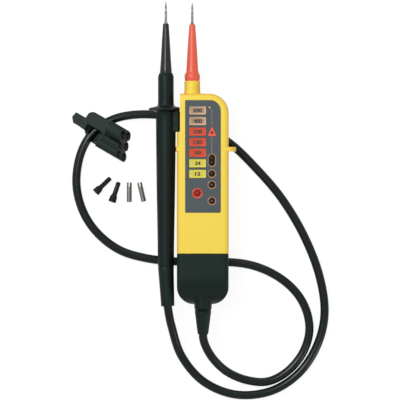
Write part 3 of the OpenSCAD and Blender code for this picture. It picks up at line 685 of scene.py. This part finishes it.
def make_floor():
    """A pale floor that the camera sees as white, with the object's shadow on it."""
    deselect()
    bpy.ops.mesh.primitive_plane_add(size=FLOOR_SIZE, location=(0, 0, FLOOR_HEIGHT * MM))
    floor = named("floor")
    material = bpy.data.materials.new("Floor")
    material.use_nodes = True
    tree = material.node_tree
    shader = tree.nodes["Principled BSDF"].inputs
    seen = seen_or_mirrored(tree)
    feed(shader["Base Color"], blend_colours(seen, (FLOOR_TRUE,) * 3, (FLOOR_SEEN,) * 3))
    feed(shader["Emission Color"], (1, 1, 1, 1))
    feed(shader["Emission Strength"], maths("MULTIPLY", seen, FLOOR_GLOW))
    feed(shader["Roughness"], 1)
    feed(shader["Specular IOR Level"], 0)
    dress(floor, material)
    world = bpy.data.worlds.new("Studio")
    bpy.context.scene.world = world
    world.use_nodes = True
    back = world.node_tree.nodes["Background"].inputs
    feed(back["Color"], (1, 1, 1, 1))
    feed(back["Strength"], ramp_range(seen_or_mirrored(world.node_tree), 0, 1, WORLD_LIGHT, 1))


class TESTER_OT_stage(bpy.types.Operator):
    """Add the camera, the lamps and the pale floor"""
    bl_idname = "tester.stage"
    bl_label = "Stage"

    def execute(self, context):
        make_camera()
        make_lamps()
        make_floor()
        context.scene.view_settings.view_transform = "Standard"
        return {"FINISHED"}


# The lead

# Height of the lead's middle where it lies on the table
REST = 3.4
# The route down from the handle, over the table and up into the probe's sleeve
LEAD_DOWN = [
    (31.2, -133.2, AXIS_Z), (33.3, -142.5, 19.8), (40, -153.5, 15.5), (51, -163.5, 9), (66.5, -170, 4.5),
]
LEAD_LYING = [
    (83.5, -171), (99.5, -162.5), (111.5, -147.5), (116.5, -130), (113.2, -112), (103, -96.5),
    (86.5, -84.3), (66, -77), (40, -75), (12, -75), (-14, -72.3), (-36, -65.5), (-54, -51.5),
    (-65.5, -33.5), (-70.3, -12), (-67, 11), (-57, 28.5), (-40.5, 39.2), (-20, 43), (4, 41.3),
    (29.5, 33.5), (53, 19.7), (74, -0.5), (94, -24), (111.5, -53), (124, -84.5), (128.7, -115),
    (123, -141.5), (108, -164.5), (85, -179), (57, -181.5),
]
LEAD_UP = [
    (31.5, -171, 4), (14, -150.5, 8.5), (6, -126.5, 17), (3, -111, AXIS_Z), (2.9, -109, AXIS_Z),
]
LEAD_ROUTE = [*LEAD_DOWN, *((x, y, REST) for x, y in LEAD_LYING), *LEAD_UP]
# Steps from one point of the route to the next, and sides of the tube
LEAD_STEPS = 10
LEAD_SIDES = 20
# The last stretch starts at this point of the route
LAST_STRETCH = 35


def lead_line():
    """The lead's middle: a smooth curve through the route, straight along Y at both ends."""
    points = [Vector(p) * MM for p in LEAD_ROUTE]
    before = Vector((points[1].x, 2 * points[0].y - points[1].y, points[1].z))
    after = Vector((points[-2].x, 2 * points[-1].y - points[-2].y, points[-2].z))
    points = [before, *points, after]
    line = []
    for a, b, c, d in zip(points, points[1:], points[2:], points[3:]):
        for k in range(LEAD_STEPS):
            t = k / LEAD_STEPS
            line.append(0.5 * (2 * b + (c - a) * t + (2 * a - 5 * b + 4 * c - d) * t * t
                               + (3 * b - a - 3 * c + d) * t ** 3))
    line.append(points[-2])
    return line


def lead_stretch(name, line, first, last, body):
    """Sweeps part of the lead as a closed tube; where two stretches meet, their last rings are the same."""
    n = LEAD_SIDES
    verts = []
    for i in range(first, last + 1):
        way = (line[min(i + 1, len(line) - 1)] - line[max(i - 1, 0)]).normalized()
        side = way.cross(Vector((0, 0, 1))).normalized()
        up = side.cross(way)
        verts += [line[i] + sizes().lead_diameter / 2 * (math.cos(a) * side + math.sin(a) * up)
                  for a in (math.tau * k / n for k in range(n))]
    steps = last - first
    faces = [(i * n + k, i * n + (k + 1) % n, (i + 1) * n + (k + 1) % n, (i + 1) * n + k)
             for i in range(steps) for k in range(n)]
    faces += [tuple(range(n))[::-1], tuple(steps * n + k for k in range(n))]
    mesh = bpy.data.meshes.new(name)
    mesh.from_pydata(verts, [], faces)
    stretch = bpy.data.objects.new(name, mesh)
    bpy.context.scene.collection.objects.link(stretch)
    smooth(stretch, 60)
    add_piece(stretch, "lead", "lead_rubber", "lead_cable", body=body)
    return stretch


class TESTER_OT_lead(bpy.types.Operator):
    """Sweep the lead along its route, and its last stretch as a piece of its own"""
    bl_idname = "tester.lead"
    bl_label = "Lead"

    def execute(self, context):
        line = lead_line()
        lead_stretch("lead", line, 0, LAST_STRETCH * LEAD_STEPS, "handle")
        last = lead_stretch("lead_last_stretch", line, LAST_STRETCH * LEAD_STEPS, len(line) - 1, None)
        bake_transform(last)
        return {"FINISHED"}


# The handle

# Rounding of the door's edges, which stays clear of its small steps
DOOR_EDGE = 0.2


class TESTER_OT_shells(bpy.types.Operator):
    """Make the two yellow mouldings and the battery door"""
    bl_idname = "tester.shells"
    bl_label = "Yellow mouldings"

    def execute(self, context):
        for node, name, body, width in (("front_shell", "front_moulding", "handle", None),
                                        ("rear_shell", "rear_moulding", "handle", None),
                                        ("battery_door", "door", "battery_door", DOOR_EDGE)):
            add_piece(softened(node, name, width), "yellow", "yellow_plastic", node, body=body)
        return {"FINISHED"}


# The strain relief's two ends along Y
RELIEF_END = -133.2
RELIEF_TOP = -112.8


def relief_body():
    """The tapered relief with a flex slot on its front and back."""
    end, top = RELIEF_END, RELIEF_TOP
    body = turned("relief", [
        (0, end + 1.2), (3.5, end + 1.2), (3.6, end + 0.2), (3.9, end), (4.15, end + 0.3),
        (4.35, end + 1.2), (4.7, end + 3.7), (5.4, end + 9.2), (6.2, end + 15.7), (6.5, top - 3.2),
        (6.55, top - 0.3), (6.4, top), (4.5, top), (4.5, top + 6), (0, top + 6),
    ], (RELIEF_X, 0, AXIS_Z))
    slots = [block("slot", (RELIEF_X - 3.8, top - 2.8, AXIS_Z + near),
                   (RELIEF_X + 3.8, top - 0.3, AXIS_Z + far)) for near, far in ((-8.4, -1.8), (1.8, 8.4))]
    cut(body, *slots)
    modify(body, "BEVEL", width=0.15 * MM, segments=2, limit_method="ANGLE", angle_limit=math.radians(40))
    return smooth(body, 40)


class TESTER_OT_end_cap(bpy.types.Operator):
    """Make the rubber end cap and the lead's strain relief"""
    bl_idname = "tester.end_cap"
    bl_label = "End cap"

    def execute(self, context):
        cap = rubbery(carried_copy("end_cap", "boot"), *CAP_SKIN)
        add_piece(cap, "rubber", "black_plastic", "end_cap")
        add_piece(relief_body(), "rubber", "black_plastic", "strain_relief")
        return {"FINISHED"}


# The face

# How far windows and digits stand out over the face, and how deep lamps sit in it
WINDOW_PROUD = 0.12
DIGITS_PROUD = 0.14
LAMPS_SUNK = 0.75
VOLTS_SUNK = 0.5
READY_PROUD = 0.1
# Radii of the lamps and of their rings' bores
LAMP_RADIUS = 2.35
PAIR_RADIUS = 2.2
VOLTS_RADIUS = 2.6
READY_RADIUS = 0.8
RING_BORE = 2.5
VOLTS_BORE = 2.68
# From an end of the pair's window to its nearer lamp's middle
PAIR_INSET = 2.8
# To be as bold as printed ones, digits get thicker strokes and stand twice, this far to either side
DIGIT_WEIGHT = 0.022
DIGIT_SHIFT = 0.15
DIGIT_GAP = 0.25


def lens_block(node, name):
    """A window with a rounded rim and the flange that holds it behind the face."""
    low, high = ends(node)
    ear = 0.9
    top = FRONT_Z + WINDOW_PROUD
    body = block(name, (low.x + ear, low.y, low.z + 0.4), (high.x - ear, high.y, top), 0.5, 0.35)
    flange = block("flange", (low.x, low.y + 0.8, low.z), (high.x, high.y - 0.8, low.z + 0.7), 0.3)
    return joined(name, [body, flange])


def number(text, centre, height, width, base):
    """A number as a thin mesh, fitted to its height and width."""
    deselect()
    bpy.ops.object.text_add()
    obj = bpy.context.active_object
    obj.data.body = text
    obj.data.extrude = 0.01
    obj.data.offset = DIGIT_WEIGHT
    bpy.ops.object.convert(target="MESH")
    x, y = centre
    return fit(named("number"), (x - width / 2, y - height / 2, base - 0.02),
               (x + width / 2, y + height / 2, base + 0.02))


class TESTER_OT_windows(bpy.types.Operator):
    """Make the seven voltage windows and their numbers"""
    bl_idname = "tester.windows"
    bl_label = "Voltage windows"

    def execute(self, context):
        numbers = []
        height, digit = sizes().digit_height / MM, sizes().digit_width / MM
        for value, (look, slot) in zip(WINDOWS, WINDOW_LOOKS):
            node = f"window_lens_{value}"
            add_piece(lens_block(node, f"window_{value}"), look, slot, node)
            centre = middle(node)
            width = digit * len(value) + DIGIT_GAP * (len(value) - 1)
            for side in (-1, 1):
                place = (centre.x + 0.1 + side * DIGIT_SHIFT, centre.y)
                numbers.append(number(value, place, height, width, FRONT_Z + DIGITS_PROUD + side * 0.002))
        add_piece(joined("window_numbers", numbers), "ink", "lens_peach")
        return {"FINISHED"}


def seated(name, profile, at, stretch=0.0):
    """Spins a profile about a lamp's axis; stretch pulls its halves apart along Y for a pair of lamps."""
    obj = turned(name, profile, (*at[:2], FRONT_Z), "Z", 48)
    for v in obj.data.vertices:
        v.co.y += math.copysign(stretch * MM, v.co.y - at[1] * MM)
    return obj


def lamp_ring(name, at, inner, outer, stretch=0.0):
    """The sloped ring round a lamp."""
    return seated(name, [
        (inner, -0.7), (outer - 0.2, -0.04), (outer - 0.1, 0.04), (outer, 0.02), (outer, -1.1),
        (inner, -1.1), (inner, -0.7),
    ], at, stretch)


def pit(at, outer, stretch=0.0):
    """What is cut out of the face to seat a lamp ring."""
    radius = outer - 0.02
    return seated("pit", [(0, -1.2), (radius, -1.2), (radius, 2), (0, 2)], at, stretch)


def dome(name, at, radius, top):
    """A domed lamp, with its flange behind the face."""
    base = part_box("lamp_lens_upper")[0].z / MM
    flange = radius + 0.5
    arc = [(radius * math.sin(math.radians(a)), top - 0.55 * radius * (1 - math.cos(math.radians(a))))
           for a in (0, 12, 25, 38, 52, 66, 80, 90)]
    return turned(name, arc + [(radius, base + 0.8), (flange, base + 0.7), (flange, base), (0, base)],
                  (*at[:2], 0), "Z", 48)


def bar(name, low, high):
    """A thin printed bar."""
    return block(name, low, high, min(high[0] - low[0], high[1] - low[1]) * 0.3)


class TESTER_OT_lamps(bpy.types.Operator):
    """Make the face, its lamps with their rings, and the printed line"""
    bl_idname = "tester.lamps"
    bl_label = "Face and lamps"

    def execute(self, context):
        twin = middle("twin_lamp_lens")
        low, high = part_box("twin_lamp_lens")
        half = (high.y - low.y) / MM / 2 - PAIR_INSET
        outer, large = sizes().lamp_ring / MM, sizes().volts_ring / MM
        face = carried_copy("face_panel", "face", whole=False)
        volts = middle("volts_lamp_lens")
        singles = {k: middle(f"lamp_lens_{k}") for k in ("upper", "plus", "minus")}
        cut(face, pit(twin, outer, half), pit(volts, large), *[pit(at, outer) for at in singles.values()])
        modify(face, "WELD", merge_threshold=0.01 * MM)
        add_piece(evened(smooth(face, 30)), "panel", "panel_grey", "face_panel")
        rings = [lamp_ring("ring", twin, RING_BORE, outer, half)]
        for k, at in singles.items():
            rings.append(lamp_ring("ring", at, RING_BORE, outer))
            lamp = dome(f"lamp_{k}", at, LAMP_RADIUS, FRONT_Z - LAMPS_SUNK)
            add_piece(lamp, "lamp", "lamp_dark", f"lamp_lens_{k}")
        add_piece(joined("lamp_rings", rings), "ring", "lens_peach")
        pair = [dome("lamp_pair", (twin.x, y), PAIR_RADIUS, FRONT_Z - LAMPS_SUNK)
                for y in (twin.y - half, twin.y + half)]
        add_piece(joined("lamp_pair", pair), "lamp", "lamp_dark", "twin_lamp_lens")
        add_piece(lamp_ring("volts_ring", volts, VOLTS_BORE, large), "ruby_ring", "lens_orange")
        lamp = dome("volts_lamp", volts, VOLTS_RADIUS, FRONT_Z - VOLTS_SUNK)
        add_piece(lamp, "ruby", "lamp_red", "volts_lamp_lens")
        lamp = dome("ready_lamp", middle("dot_lens"), READY_RADIUS, FRONT_Z + READY_PROUD)
        add_piece(lamp, "lemon", "lens_yellow", "dot_lens")
        self.triangle()
        self.print_marks(twin, half)
        return {"FINISHED"}

    def triangle(self):
        """The three-cornered lamp with a dark centre."""
        low, high = ends("triangle_lens")
        deselect()
        bpy.ops.mesh.primitive_cylinder_add(vertices=3, radius=1, depth=1)
        lens = fit(named("triangle_lamp"), (low.x, low.y, low.z), (high.x, high.y, FRONT_Z + WINDOW_PROUD))
        bevel_where(lens, stands, 0.5, 4)
        bevel_where(lens, lambda a, b: min(a.z, b.z) > FRONT_Z, 0.35, 3)
        add_piece(smooth(lens), "warm", "lens_orange", "triangle_lens")
        centre = (low.x + high.x) / 2
        seed = turned("triangle_centre", [(0, 0.02), (1.15, 0.02), (1.25, 0), (1.25, -0.1), (0, -0.1)],
                      (centre, low.y + 2.9, FRONT_Z + DIGITS_PROUD), "Z", 32)
        add_piece(seed, "ruby", "lamp_red")

    def print_marks(self, twin, half):
        """The thin line from the small lamp to the pair, and the signs on the lamps."""
        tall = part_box("triangle_lens")
        w = sizes().line_width / MM / 2
        x = LAMP_X - 0.1
        z = FRONT_Z + 0.02
        reach = half + sizes().lamp_ring / MM
        bars = [bar("line", (x - w, tall[1].y / MM + 0.3, z - 0.04), (x + w, middle("dot_lens").y - 1.4, z)),
                bar("line", (x - w, twin.y + reach + 0.2, z - 0.04), (x + w, tall[0].y / MM - 0.3, z))]
        add_piece(joined("printed_line", bars), "line", "panel_grey")
        top = FRONT_Z - 0.7
        plus, minus = middle("lamp_lens_plus"), middle("lamp_lens_minus")
        signs = [bar("sign", (c.x - w, c.y - h, top - 0.06), (c.x + w, c.y + h, top))
                 for c, w, h in ((plus, 0.8, 0.16), (plus, 0.16, 0.8), (minus, 0.8, 0.16))]
        add_piece(joined("lamp_signs", signs), "line", "panel_grey")


# The two probes

# Where the tips and the cones end along Y
TIP_Y = {"red": 132.2, "black": 133.2}
NOSE_Y = {"red": 114.9, "black": 115.5}


def metal_tip(name, x, end, nose):
    """A round rod with a collar, a groove, a waist and a fine point."""
    return turned(name, [
        (0, nose - 6), (1, nose - 6), (1, nose - 0.5), (1.3, nose - 0.5), (1.35, nose - 0.4),
        (1.35, nose + 1.3), (1.2, nose + 1.55), (1, nose + 1.7), (1, nose + 3), (0.94, nose + 3.1),
        (0.94, nose + 3.4), (1, nose + 3.5), (1, end - 8), (0.64, end - 7.2), (0.6, end - 6.6),
        (0.9, end - 5.5), (0.92, end - 5.1), (0.85, end - 4.4), (0.7, end - 3.1), (0.55, end - 2),
        (0.36, end - 0.9), (0.16, end - 0.05), (0, end),
    ], (x, 0, AXIS_Z), steps=40)


class TESTER_OT_handle_probe(bpy.types.Operator):
    """Make the red cone with its collar, and its metal tip"""
    bl_idname = "tester.handle_probe"
    bl_label = "Red probe"

    def execute(self, context):
        y = NOSE_Y["red"]
        nose = turned("red_cone", [
            (0, 66), (5.6, 66), (5.6, 69.95), (5.9, 70.1), (6, 70.6), (6.18, 71.6), (6.2, 72.6),
            (6.2, 73.6), (6.05, 74.5), (5.8, 75.3), (5.4, 75.9), (5.05, 76.6), (4.9, 77.3), (4.72, 78.6),
            (4.52, 82.5), (4.3, 86.4), (4.05, 90.4), (3.8, 94.4), (3.55, 98.4), (3.3, 102.4), (3, 106.4),
            (2.7, 110.4), (2.45, y - 0.9), (2.3, y - 0.35), (2, y), (1.4, y), (1.4, y - 0.5),
            (0, y - 0.5),
        ], (NOSE_X, 0, AXIS_Z), steps=72)
        add_piece(nose, "red", "red_plastic", "red_nose")
        add_piece(metal_tip("red_probe_point", NOSE_X, TIP_Y["red"], y), "steel", "tip_steel", "red_tip")
        return {"FINISHED"}


# Middle of the finger guard, the clip's ends in X and in Y, half of its depth, and its tongue's ends in Y
DISC_Y = 47.2
CLIP = (7.1, 12.6, 28.9, 47.2)
CLIP_HALF = 5.4
TONGUE = (30, 45.1)
# Where the sleeve starts at the barrel's foot, how long it is, and how far it leans, in degrees
SLEEVE_START = -79.1
SLEEVE_REACH = 31.5
SLEEVE_LEAN = 2.8


def barrel_body():
    """The barrel with its finger guard, turned in one."""
    d = DISC_Y
    return turned("barrel", [
        (0, -79), (6.3, -79), (6.42, -78.8), (6.45, -78), (6.55, -68), (6.67, -58), (6.95, -42),
        (7.25, -26), (7.5, -10), (7.7, 6), (7.85, 20), (7.95, 33), (8, d - 5), (8.15, d - 3.6),
        (8.6, d - 2.6), (9.6, d - 2), (11.4, d - 1.35), (13.1, d - 0.85), (13.6, d - 0.55),
        (13.8, d - 0.1), (13.75, d + 0.35), (13.3, d + 0.75), (11.4, d + 1.3), (9.2, d + 1.8),
        (7.6, d + 2.2), (6.9, d + 2.6), (6.5, d + 3.2), (6.35, d + 4.4), (6.3, d + 8), (6.3, 60),
        (6.3, 72.6), (6.2, 73.4), (5.9, 74.3), (5.5, 75.3), (5.35, 75.8), (5.2, 76), (4.95, 76.05),
        (4.75, 76.1), (4.7, 76.6), (0, 76.6),
    ], (PROBE_X, 0, AXIS_Z), steps=96)


def clip_body():
    """The clip beside the barrel: a block with a rail along it and the tongue that enters the handle."""
    x0, x1, y0, y1 = CLIP
    lip = block("clip", (x0 - 3, y0, AXIS_Z - CLIP_HALF), (x1, y1 - 1.6, AXIS_Z + CLIP_HALF))
    bevel_where(lip, lambda a, b: abs(a.x - b.x) + abs(a.z - b.z) < TOUCH and a.x > x1 - 0.01, 1.4, 5)
    bevel_where(lip, lambda a, b: max(a.y, b.y) < y0 + 0.01, 0.5, 3)
    groove = block("groove", (x0 + 1.2, y0 - 1, AXIS_Z + CLIP_HALF - 0.7), (x0 + 2.1, y1 - 4, AXIS_Z + 7))
    cut(lip, groove)
    low, high = TONGUE
    tongue = block("tongue", (x1 - 1, low, AXIS_Z - 1.25), (x1 + 1.9, high, AXIS_Z + 1.25))
    foot = block("foot", (x1 + 1.85, low, AXIS_Z - 2.55), (x1 + 2.75, high, AXIS_Z + 2.55))
    bevel_where(foot, lambda a, b: max(a.y, b.y) < low + 0.01, 0.3, 2)
    return smooth(joined("clip", [lip, tongue, foot]), 35)


class TESTER_OT_black_probe(bpy.types.Operator):
    """Make the black probe: barrel, clip, cone, tip and end sleeve"""
    bl_idname = "tester.black_probe"
    bl_label = "Black probe"

    def execute(self, context):
        body = barrel_body()
        side = CLIP[1]
        cut(body, block("flat", (side, DISC_Y - 6, 0), (side + 20, DISC_Y + 6, 60)))
        body = smooth(joined("probe_body", [body, clip_body()]), 32)
        add_piece(body, "black", "black_plastic", "probe_barrel", body="black_probe")
        y = NOSE_Y["black"]
        nose = turned("black_cone", [
            (0, 76.5), (4.7, 76.5), (4.8, 77.1), (4.74, 78), (4.6, 79.4), (4.36, 83), (4.1, 86.4),
            (3.88, 90.4), (3.65, 94.4), (3.43, 98.4), (3.2, 102.4), (2.93, 106.4), (2.65, 110.4),
            (2.42, y - 0.9), (2.25, y - 0.35), (1.95, y), (1.4, y), (1.4, y - 0.5), (0, y - 0.5),
        ], (PROBE_X, 0, AXIS_Z), steps=72)
        add_piece(nose, "cone", "black_plastic", "probe_nose", body="black_probe")
        add_piece(metal_tip("black_probe_point", PROBE_X, TIP_Y["black"], y), "steel", "tip_steel",
                  "probe_tip", body="black_probe")
        add_piece(self.sleeve(), "rubber", "black_plastic", "probe_end_sleeve", body="black_probe")
        return {"FINISHED"}

    def sleeve(self):
        """The sleeve at the foot, which leans a little towards the handle."""
        n = SLEEVE_REACH
        sleeve = turned("sleeve", [
            (0, -1.5), (5.6, -1.5), (5.7, 0), (6.25, 0), (6.35, 0.25), (6.1, 6), (5.9, 12), (5.7, 19),
            (5.5, 26), (5.38, n - 0.9), (5.25, n - 0.35), (5, n), (3.7, n), (3.6, n - 0.3),
            (3.6, n - 2.8), (0, n - 2.8),
        ], (0, 0, 0), steps=64)
        return placed(sleeve, (PROBE_X, SLEEVE_START, AXIS_Z), -90 + SLEEVE_LEAN)


# The accessories

# The holder's own frame has x along its tubes, y across them and z up
HOLDER_FRAME = Matrix.Translation(Vector((-60.8, 34.4, 0)) * MM) @ turning(-30, "Z")
# The slanted plane in which the tubes end
MOUTH_PLANE = Matrix.Translation(Vector((34.9, 0, 4)) * MM) @ turning(18.5, "Z") @ turning(-30, "Y")
# The backs of the upper tubes stay above the lead
LEAD_ROOM = 7.5
# What is cut away between the two upper tubes
VALLEY = ((15.5, -3.9, 8.2), (45, 2.9, 20))
# The upper tubes: y, z, radius of their round backs, then y, z, radius and floor of their bores
UPPER_TUBES = {
    "wide": ((6.15, 9.05, 6.1), (6.9, 10.6, 3.4, 19)),
    "slim": ((-2.5, 11.3, 3.1), (-1.6, 11.2, 2.4, 20)),
}
BORE_END = 60


def holder_tube(name, y, z, radius, start, end):
    """A rod along the holder's tubes."""
    deselect()
    bpy.ops.mesh.primitive_cylinder_add(vertices=72, radius=radius * MM, depth=(end - start) * MM)
    rod = moved(named(name), Matrix.Translation(Vector(((start + end) / 2, y, z)) * MM) @ turning(90, "Y"))
    return moved(rod, HOLDER_FRAME)


def holder_band(name, y, z, radius):
    """The round back of a tube, above the lead and up to the slanted mouths."""
    band = holder_tube(name, y, z, radius, 13, 45)
    below = moved(block("below", (5, y - 10, -10), (50, y + 10, LEAD_ROOM)), HOLDER_FRAME)
    beyond = moved(block("beyond", (0, -40, -40), (40, 40, 40)), HOLDER_FRAME @ MOUTH_PLANE)
    return cut(band, below, beyond)


class TESTER_OT_holder(bpy.types.Operator):
    """Make the moulded accessory holder, with its upper tubes drawn together into a wide and a slim one"""
    bl_idname = "tester.holder"
    bl_label = "Accessory holder"

    def execute(self, context):
        holder = carried_copy("accessory_holder", "holder")
        cut(holder, moved(block("valley", *VALLEY), HOLDER_FRAME))
        fuse(holder, *[holder_band(f"{name}_band", *back) for name, (back, _) in UPPER_TUBES.items()])
        bores = [holder_tube(f"{name}_bore", *bore, BORE_END) for name, (_, bore) in UPPER_TUBES.items()]
        cut(holder, *bores)
        add_piece(rubbery(holder, *HOLDER_SKIN), "holder", "cap_rubber", "accessory_holder",
                  body="accessory_holder")
        return {"FINISHED"}


# Lengths, places on the table and turns of the loose accessories
CAP_LENGTH = 16.8
CAP_PLACES = {"left": ((-55, -19.6), 44.3), "right": ((-41.8, -27.1), 70.9)}
CAP_TILT = 5.0
# The widest ring of a cap, on which it rests: its radius and how far from the open end it is
CAP_FOOT = (3.2, 1.2)
CAP_RIBS = 12
ADAPTER_PLACES = {"left": (-27.9, -11.5), "right": (-19.8, -11.5)}
ADAPTER_LENGTH = 15.7
ADAPTER_RADIUS = 2
SLOT_DEPTH = 3.4


def tip_cap(name):
    """A rubber cap: a bell with grip ribs, a rounded tube and a bore for the tip."""
    n = CAP_LENGTH
    cap = turned(name, [
        (0, n - 2), (1.05, n - 2), (1.05, 3), (1.45, 2.6), (1.45, 0.8), (2.5, 0), (3, 0), (3.18, 0.3),
        (3.2, 1.1), (2.98, 1.6), (2.85, 3.2), (2.7, 4.6), (2.35, 5.4), (2.1, 6), (1.96, 7), (1.9, 12),
        (1.88, n - 1), (1.7, n - 0.4), (1.3, n - 0.05), (0, n),
    ], (0, 0, 0), steps=48)
    ribs = [moved(block("rib", (-0.16, 1.7, 2.4), (0.16, 4.5, 3.0), 0, 0.1),
                  turning(360 / CAP_RIBS * (k + 0.5), "Y")) for k in range(CAP_RIBS)]
    return joined(name, [cap, *ribs])


def adapter(name):
    """A tube of sheet metal, split along its seam, with a slot across one end."""
    r, n = ADAPTER_RADIUS, ADAPTER_LENGTH
    tube = turned(name, [
        (1.05, 0.1), (1.2, 0), (r - 0.35, 0), (r - 0.1, 0.25), (r, 0.6), (r, n - 0.3), (r - 0.12, n - 0.08),
        (r - 0.3, n), (1.2, n), (1.05, n - 0.1), (1.05, 0.1),
    ], (0, 0, 0), steps=48)
    slot = block("slot", (-0.4, -1, -3), (0.4, SLOT_DEPTH, 3))
    seam = block("seam", (-0.12, -1, 0), (0.12, n + 1, 3))
    return smooth(cut(tube, slot, seam), 35)


class TESTER_OT_accessories(bpy.types.Operator):
    """Make the rubber tip caps and the metal adapters beside the tester"""
    bl_idname = "tester.accessories"
    bl_label = "Caps and adapters"

    def execute(self, context):
        wide, along = CAP_FOOT
        lift = wide * math.cos(math.radians(CAP_TILT)) + along * math.sin(math.radians(CAP_TILT))
        for side, (at, turn) in CAP_PLACES.items():
            cap = placed(tip_cap(f"rubber_cap_{side}"), (*at, lift), turn, CAP_TILT)
            node = f"tip_cap_{side}"
            add_piece(cap, "soft_black", "cap_rubber", node, body=node)
        for side, at in ADAPTER_PLACES.items():
            piece = placed(adapter(f"split_adapter_{side}"), (*at, ADAPTER_RADIUS), ADAPTER_TURNS[side])
            node = f"tip_adapter_{side}"
            add_piece(piece, f"adapter_{side}", "adapter_steel", node, body=node)
        return {"FINISHED"}


# Screws and the pieces inside

# Name, body and rounding of the edges
SCREWS = {
    "door_screw": ("captive_screw", "door_screw", 0.12),
    "case_screws": ("shell_screws", "handle", 0.1),
}


class TESTER_OT_inside(bpy.types.Operator):
    """Finish the screws and the pieces inside the handle and the probe"""
    bl_idname = "tester.inside"
    bl_label = "Screws and inner pieces"

    def execute(self, context):
        for node, (name, body, width) in SCREWS.items():
            add_piece(softened(node, name, width), "pressed", "screw_steel", node, body=body)
        looks = {"circuit_board": "board", "indicator_leds": "milky", "buzzer": "black",
                 "handle_resistor": "tan", "probe_resistor": "tan", "battery_left": "cell",
                 "battery_right": "cell", "battery_springs": "pressed", "battery_plate": "pressed"}
        for node, look in looks.items():
            dress(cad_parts[node], FINISHES[look])
        return {"FINISHED"}


class TESTER_PT_panel(bpy.types.Panel):
    """Lists the steps that make the tester, with its sizes and colours"""
    bl_idname = "TESTER_PT_panel"
    bl_label = "Voltage tester"
    bl_space_type = "VIEW_3D"
    bl_region_type = "UI"
    bl_category = "Tester"

    def draw(self, context):
        steps = self.layout.column(align=True)
        for step in STEPS:
            steps.operator(step.bl_idname)
        for title, settings in (("Sizes", sizes()), ("Colours", colours())):
            box = self.layout.box()
            box.label(text=title)
            for name in settings.__annotations__:
                box.prop(settings, name)


STEPS = (TESTER_OT_stage, TESTER_OT_lead, TESTER_OT_shells, TESTER_OT_end_cap, TESTER_OT_windows,
         TESTER_OT_lamps, TESTER_OT_handle_probe, TESTER_OT_black_probe, TESTER_OT_holder,
         TESTER_OT_accessories, TESTER_OT_inside)
CLASSES = (TesterSizes, TesterColours, *STEPS, TESTER_PT_panel)


def register():
    """Registers the classes and hangs the settings on the scene."""
    for cls in CLASSES:
        bpy.utils.register_class(cls)
    bpy.types.Scene.tester_sizes = PointerProperty(type=TesterSizes)
    bpy.types.Scene.tester_colours = PointerProperty(type=TesterColours)


def unregister():
    """Takes the settings and the classes away again."""
    del bpy.types.Scene.tester_colours
    del bpy.types.Scene.tester_sizes
    for cls in reversed(CLASSES):
        bpy.utils.unregister_class(cls)


def main():
    """Makes the whole tester."""
    register()
    make_finishes()
    bpy.ops.tester.stage()
    bpy.ops.tester.lead()
    bpy.ops.tester.shells()
    bpy.ops.tester.end_cap()
    bpy.ops.tester.windows()
    bpy.ops.tester.lamps()
    bpy.ops.tester.handle_probe()
    bpy.ops.tester.black_probe()
    bpy.ops.tester.holder()
    bpy.ops.tester.accessories()
    bpy.ops.tester.inside()


if __name__ == "__main__":
    main()
